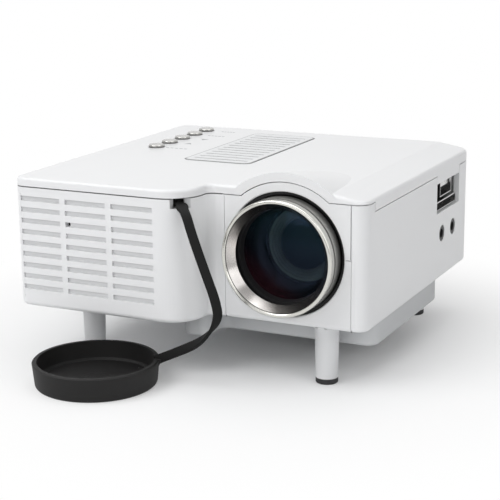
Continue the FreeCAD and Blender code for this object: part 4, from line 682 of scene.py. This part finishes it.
finishes = {
    "shell_white": toneShell(addGrain(whiteShell)),
    "panel_white": tonePanel(addGrain(whitePanel, grainScale=1800)),
    "key_silver": makeSilverKey(),
    "ring_steel": makeSteelRing(),
    "barrel_dark": makeDarkBarrel(),
    "lens_glass": makeLensGlass(),
    "clear_glass": newMaterial("clearGlass", (0.9, 0.95, 0.96), 0.05, Transmission_Weight=1.0),
    "leg_lacquer": addGrain(legLacquer, depth=0.05),
    "cap_rubber": makeCapRubber(),
}
plainFinishes = {
    # slot: name, colour, roughness, metallic and scale of the grain
    "tub_grey": ("greyTub", (0.58, 0.59, 0.60), 0.5, 0.0, 1500),
    "black_plastic": ("blackPlastic", (0.012, 0.012, 0.013), 0.45, 0.0, 2000),
    "board_green": ("boardGreen", (0.02, 0.12, 0.05), 0.35, 0.0, 1200),
    "heat_aluminium": ("finAluminium", (0.68, 0.69, 0.70), 0.35, 1.0, 1500),
    "socket_steel": ("socketSteel", (0.60, 0.60, 0.60), 0.25, 1.0, 1500),
    "screw_steel": ("screwSteel", (0.45, 0.45, 0.46), 0.3, 1.0, 1500),
    "foot_rubber": ("footRubber", (0.022, 0.022, 0.023), 0.65, 0.0, 1500),
}
for slot, (name, colour, roughness, metallic, scale) in plainFinishes.items():
    finishes[slot] = addGrain(newMaterial(name, colour, roughness, metallic), grainScale=scale)

blackened = ("lens_cell", "lens_baffle", "lens_sleeve", "light_seal", "lens_spacer")
lensFinishes = {"rear_lens": rearGlass, **dict.fromkeys(blackened, blackPaint)}
for part in frame["record"]["subparts"]:
    mesh = nodes[part["node"]].data
    mesh.materials.clear()
    mesh.materials.append(lensFinishes.get(part["node"], finishes[part["material_slot"]]))
print("finishes given to the parts")

copies = {
    "merge": 0.001,  # corners closer than this are one
    "sharpAngle": 32,  # degrees, above which an edge stays crisp
}

lowerEdge = {
    "bottom": 21.0,
    "radius": 1.7,
    "steps": 5,
    # node and the sideways direction its outer walls face, none for all round
    "parts": {"lower_housing": None, "lens_bezel": (0, -1, 0)},
    "upright": 0.2,  # a wall leans no more than this out of the level direction
    "facing": 0.5,  # how far a wall has to face the way that is asked for
    "lookFrom": 0.05,  # from this far off a wall is tested for what stands outside it
    "lookTo": 300,
    "slack": 0.01,  # a corner as little as this below the bottom still moves
    "leastReach": 0.5,  # keeps a corner between walls that face far apart from moving too far
}


def cornerPlaces(mesh):
    # the corners' places as one array, a row each
    places = np.empty(len(mesh.vertices) * 3)
    mesh.vertices.foreach_get("co", places)
    return places.reshape(-1, 3)


def copiedShape(name):
    # a node's mesh with its loose triangles joined
    shape = bmesh.new()
    shape.from_mesh(nodes[name].data)
    bmesh.ops.remove_doubles(shape, verts=shape.verts, dist=copies["merge"] * mm)
    return shape


def moveCorners(shape, move):
    # all the corners' places go through a function and back into the shape
    mesh = bpy.data.meshes.new("moved")
    shape.to_mesh(mesh)
    mesh.vertices.foreach_set("co", move(cornerPlaces(mesh)).ravel())
    shape.clear()
    shape.from_mesh(mesh)
    bpy.data.meshes.remove(mesh)


def replaceNode(shape, name, newName, body, slotName):
    # the changed copy takes the node's place, crisp where two faces meet at more than the angle
    shape.normal_update()
    limit = math.radians(copies["sharpAngle"])
    for edge in shape.edges:
        edge.smooth = edge.calc_face_angle(math.pi) < limit
    for face in shape.faces:
        face.smooth = True
    mesh = bpy.data.meshes.new(newName)
    shape.to_mesh(mesh)
    shape.free()
    mesh.materials.append(finishes[slotName])
    piece = bpy.data.objects.new(newName, mesh)
    scene.collection.objects.link(piece)
    weighted = piece.modifiers.new("evenShading", "WEIGHTED_NORMAL")
    weighted.keep_sharp = True
    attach(piece, body)
    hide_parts(name)


def outerWalls(shape, low, high, facing):
    # upright faces that reach into the band and have nothing of the part outside them
    tree = BVHTree.FromBMesh(shape)
    hair = copies["merge"] * mm
    walls = []
    for face in shape.faces:
        heights = [corner.co.z for corner in face.verts]
        if abs(face.normal.z) > lowerEdge["upright"]:
            continue
        if min(heights) > high - hair or max(heights) < low + hair:
            continue
        if facing and face.normal.dot(Vector(facing)) < lowerEdge["facing"]:
            continue
        start = face.calc_center_median() + face.normal * lowerEdge["lookFrom"] * mm
        if tree.ray_cast(start, face.normal, lowerEdge["lookTo"] * mm)[0] is None:
            walls.append(face)
    return walls


def drawnIn(places, owner, normals):
    # corners of the walls go in along a quarter circle, by
    # radius - square root of (radius squared - (radius - height) squared),
    # against the mean of their walls' sideways normals and further where these differ
    low, radius = lowerEdge["bottom"] * mm, lowerEdge["radius"] * mm
    height = places[:, 2] - low
    near = height[owner] >= -lowerEdge["slack"] * mm
    near &= height[owner] <= radius + copies["merge"] * mm
    owner, normals = owner[near], normals[near]
    mean, moved = np.zeros_like(places), np.unique(owner)
    np.add.at(mean, owner, normals * (1, 1, 0))
    mean[moved] /= np.linalg.norm(mean[moved], axis=1, keepdims=True)
    reach = np.ones(len(places))
    np.minimum.at(reach, owner, (mean[owner] * normals).sum(1))
    reach = np.maximum(reach, lowerEdge["leastReach"])
    rest = radius - np.clip(height, 0, radius)
    inset = radius - np.sqrt(np.maximum(radius**2 - rest**2, 0))
    return places - mean * (inset / reach)[:, None]


def roundLowerEdge(name, facing):
    # the walls are cut at the heights of the quarter circle's steps, then their corners move
    shape = copiedShape(name)
    low, radius = lowerEdge["bottom"] * mm, lowerEdge["radius"] * mm
    angles = np.linspace(0, np.pi / 2, lowerEdge["steps"] + 1)[1:]
    for height in low + radius * (1 - np.cos(angles)):
        everything = shape.verts[:] + shape.edges[:] + shape.faces[:]
        bmesh.ops.bisect_plane(shape, geom=everything, dist=copies["merge"] * mm,
                               plane_co=(0, 0, height), plane_no=(0, 0, 1))
    shape.normal_update()
    shape.verts.index_update()
    pairs = [(corner.index, face.normal.copy())
             for face in outerWalls(shape, low, low + radius, facing) for corner in face.verts]
    owner, normals = (np.array(column) for column in zip(*pairs))
    moveCorners(shape, lambda places: drawnIn(places, owner, normals))
    replaceNode(shape, name, name + "Rounded", "projector", "shell_white")


for name, facing in lowerEdge["parts"].items():
    roundLowerEdge(name, facing)
print("lower edges rounded")

capLug = {
    "beyond": 22.9,  # radius past which a corner belongs to the lug
    "below": 6.0,
    "drawnIn": 21.45,  # radius of the lower corners, inside the wall
}


def lugDrawnIn(places):
    # past the outer radius and low down, middle + direction from the middle times the new radius
    middle = np.array(capMiddle) * mm
    out = places[:, :2] - middle
    reach = np.linalg.norm(out, axis=1)
    lug = (reach > capLug["beyond"] * mm) & (places[:, 2] < capLug["below"] * mm)
    direction = out[lug] / reach[lug, None]
    places[lug, :2] = middle + direction * capLug["drawnIn"] * mm
    return places


def makeCap():
    # the strap's lug runs out into the wall
    shape = copiedShape("lens_cap")
    moveCorners(shape, lugDrawnIn)
    replaceNode(shape, "lens_cap", "lensCapShaped", "cap", "cap_rubber")


makeCap()
print("cap shaped")

strap = {
    "width": 3.2,
    "thickness": 1.3,
    "squareness": 0.35,
    "neck": (2.6, 2.6, 0.3),  # width beside the anchor, how far it reaches, how softly it widens
    "flareTop": (0.9, 5.4, 0.3),  # how much wider, up to where, and how softly it ends
    "flareEnd": (0.5, 1.6),  # how much wider at the cap, and over what length
    "stations": 180,
    "round": 24,
    # from the notch in the shoulder down to the rim of the cap
    "route": [(0.0, -58.5, 63.0), (4.9, -63.2, 61.6), (8.0, -64.6, 54.2), (12.8, -65.6, 43.0),
              (17.7, -66.3, 31.9), (18.4, -66.1, 25.2), (11.8, -65.3, 17.4), (2.0, -64.5, 12.1),
              (-7.2, -64.1, 7.8)],
    # direction of the strap's width at the top, at the bend and at the cap
    "widthAt": [(0.0, (0.75, 0.66, 0.0)), (0.42, (0.86, 0.5, 0.1)), (0.58, (0.5, 0.8, 0.2)),
                (0.68, (0.15, 0.8, 0.6)), (0.82, (0.1, 0.3, 1.0)), (1.0, (0.0, 0.1, 1.0))],
}


def alongLine(where, stops, values):
    # each column of the values read off at the places asked for
    return np.stack([np.interp(where, stops, column) for column in np.asarray(values).T], 1)


def sampledRoute(name, route, count):
    # the NURBS line through the route, read back as points an equal way apart
    curve = bpy.data.curves.new(name, "CURVE")
    curve.dimensions = "3D"
    spline = curve.splines.new("NURBS")
    spline.points.add(len(route) - 1)
    for point, place in zip(spline.points, route):
        point.co = (*(value * mm for value in place), 1)
    spline.order_u = 3
    spline.use_endpoint_u = True
    spline.resolution_u = 32
    line = bpy.data.objects.new(name, curve)
    scene.collection.objects.link(line)
    points = cornerPlaces(bpy.data.meshes.new_from_object(line))
    bpy.data.objects.remove(line)
    steps = np.linalg.norm(np.diff(points, axis=0), axis=1)
    run = np.concatenate([[0], np.cumsum(steps)])
    return alongLine(np.linspace(0, run[-1], count), run, points), run[-1]


def strapWidths(run):
    # the plain width, wider at the top up to a soft step, narrower at the neck up to another,
    # and a bell more at the far end
    (neck, reach, ease), (more, until, soft) = strap["neck"], strap["flareTop"]
    endMore, endFade = strap["flareEnd"]
    width = strap["width"] + more / (1 + np.exp((run - until) / soft))
    width = neck + (width - neck) / (1 + np.exp((reach - run) / ease))
    return width + endMore * np.exp(-(((run[-1] - run) / endFade) ** 2))


def makeStrap():
    # a rounded rectangle carried along the line, its width turned from one hint to the next:
    # its outline is cosine and sine of the angle, each raised to the power of the squareness
    points, length = sampledRoute("strapLine", strap["route"], strap["stations"])
    share = np.linspace(0, 1, len(points))
    tangent = np.gradient(points, axis=0)
    tangent /= np.linalg.norm(tangent, axis=1, keepdims=True)
    stops, hints = zip(*strap["widthAt"])
    wide = alongLine(share, stops, hints)
    wide -= tangent * (wide * tangent).sum(1, keepdims=True)
    wide /= np.linalg.norm(wide, axis=1, keepdims=True)
    thick = np.cross(tangent, wide)
    angle = np.linspace(0, 2 * np.pi, strap["round"], endpoint=False)
    across, through = (np.sign(side) * np.abs(side) ** strap["squareness"] / 2 * mm
                       for side in (np.cos(angle), np.sin(angle)))
    width = strapWidths(share * length / mm)
    rings = points[:, None] + wide[:, None] * across[None, :, None] * width[:, None, None]
    rings = rings + thick[:, None] * through[None, :, None] * strap["thickness"]
    count = strap["round"]
    last = (len(points) - 1) * count
    ends = [list(range(count))[::-1], list(range(last, last + count))]
    faces = gridFaces(len(points), count) + ends
    band = addPiece("capStrapBand", rings.reshape(-1, 3), faces, "cap", makeStrapRubber())
    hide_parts("cap_strap")


makeStrap()
print("strap made")

lensStop = {
    # radius and place along y, from the spacer's wall inwards and back again
    "profile": [(14.2, -31.6), (13.3, -31.6), (13.1, -31.3), (12.2, -31.3), (12.1, -31.0),
                (11.2, -31.0), (11.1, -30.8), (10.2, -30.8), (10.1, -30.6), (9.2, -30.6),
                (9.0, -30.4), (9.0, -30.3), (11.0, -29.95), (14.2, -29.6)],
    "round": 128,
    "rim": (0.004, 0.005, 0.006),
    "steps": (0.27, 0.38, 0.37),
    "rimRun": (13.05, 13.35),  # radii from the steps' colour to the rim's
    "fadeRun": (9.2, 12.9),
    "inner": 0.2,  # brightness of the innermost step
}


def closedRevolve(profile, count, x, z):
    # each profile point (radius, y) goes round the line along y through x and z:
    # x + radius times cosine, y, z + radius times sine, and the profile closes into a loop
    angle = np.linspace(0, 2 * np.pi, count, endpoint=False)
    radius, along = np.asarray([*profile, profile[0]], float).T
    points = np.empty((len(radius), count, 3))
    points[..., 0] = x + radius[:, None] * np.cos(angle)
    points[..., 1] = along[:, None]
    points[..., 2] = z + radius[:, None] * np.sin(angle)
    total = len(profile) * count
    faces = np.array(gridFaces(len(radius), count)) % total
    return points[:-1].reshape(-1, 3) * mm, faces.tolist()


def turnOutward(piece):
    # face normals recalculated so that they all point out of the solid
    shape = bmesh.new()
    shape.from_mesh(piece.data)
    bmesh.ops.recalc_face_normals(shape, faces=shape.faces)
    shape.to_mesh(piece.data)
    shape.free()


def makeLensStop():
    # pale grey green steps inside a black rim
    material = newMaterial("stopPaint", lensStop["steps"], 0.45)
    tree = material.node_tree
    radius = addLathe(material, fineness=3, spread=0.1)["Radius"]
    fade = ramp(tree, radius, lensStop["fadeRun"], (lensStop["inner"], 1))
    steps = darkened(tree, fade, lensStop["steps"])
    edge = ramp(tree, radius, lensStop["rimRun"])
    paint(material, mixColour(tree, edge, steps, lensStop["rim"]))
    points, faces = closedRevolve(lensStop["profile"], lensStop["round"], *lensAxis)
    piece = addPiece("lensStop", points, faces, "lens_group", material, smooth=False)
    turnOutward(piece)


makeLensStop()
print("lens stop made")

marks = {
    "top": 67.6,  # the lid's upper face
    "sunk": 0.01,
    "height": 0.02,
    "bars": [(-37.3, 9.4, 9.9), (-36.2, 40.9, 8.0), (-36.2, 51.9, 6.5)],  # middle x, y and length
    "barWidth": 0.9,
    "dashes": 5,
    "dashShare": 0.7,  # how much of a step is ink
    "arrows": [(-38.2, 20.8, 1), (-37.1, 31.4, -1)],  # middle x, y and the way it points
    "arrowSize": 3.4,
    "arrowFoot": 0.7,  # how far back and how far forward it reaches, in halves of its size
    "arrowTip": 0.8,
}


def dashOutlines(x, y, length):
    # rectangles that start an equal step apart along the bar
    step = length / marks["dashes"]
    low, high = y - marks["barWidth"] / 2, y + marks["barWidth"] / 2
    lefts = x - length / 2 + np.arange(marks["dashes"]) * step
    rights = lefts + step * marks["dashShare"]
    return [[(left, low), (right, low), (right, high), (left, high)]
            for left, right in zip(lefts, rights)]


def arrowOutline(x, y, way):
    half = marks["arrowSize"] / 2
    foot, tip = y - half * marks["arrowFoot"] * way, y + half * marks["arrowTip"] * way
    return [(x - half, foot), (x + half, foot), (x, tip)][::way]


def makeMarks():
    # thin flat plates of ink: dashes as rectangles, arrows as triangles
    outlines = [outline for bar in marks["bars"] for outline in dashOutlines(*bar)]
    outlines += [arrowOutline(*arrow) for arrow in marks["arrows"]]
    points, faces = [], []
    for outline in outlines:
        start, count = len(points), len(outline)
        for z in (marks["top"] - marks["sunk"], marks["top"] + marks["height"]):
            points += [(x * mm, y * mm, z * mm) for x, y in outline]
        below, above = np.arange(count) + start, np.arange(count) + start + count
        sides = np.stack([below, np.roll(below, -1), np.roll(above, -1), above], 1)
        faces += [below[::-1].tolist(), above.tolist(), *sides.tolist()]
    piece = addPiece("keyMarks", points, faces, "projector", legendInk, smooth=False)


makeMarks()
print("marks made")
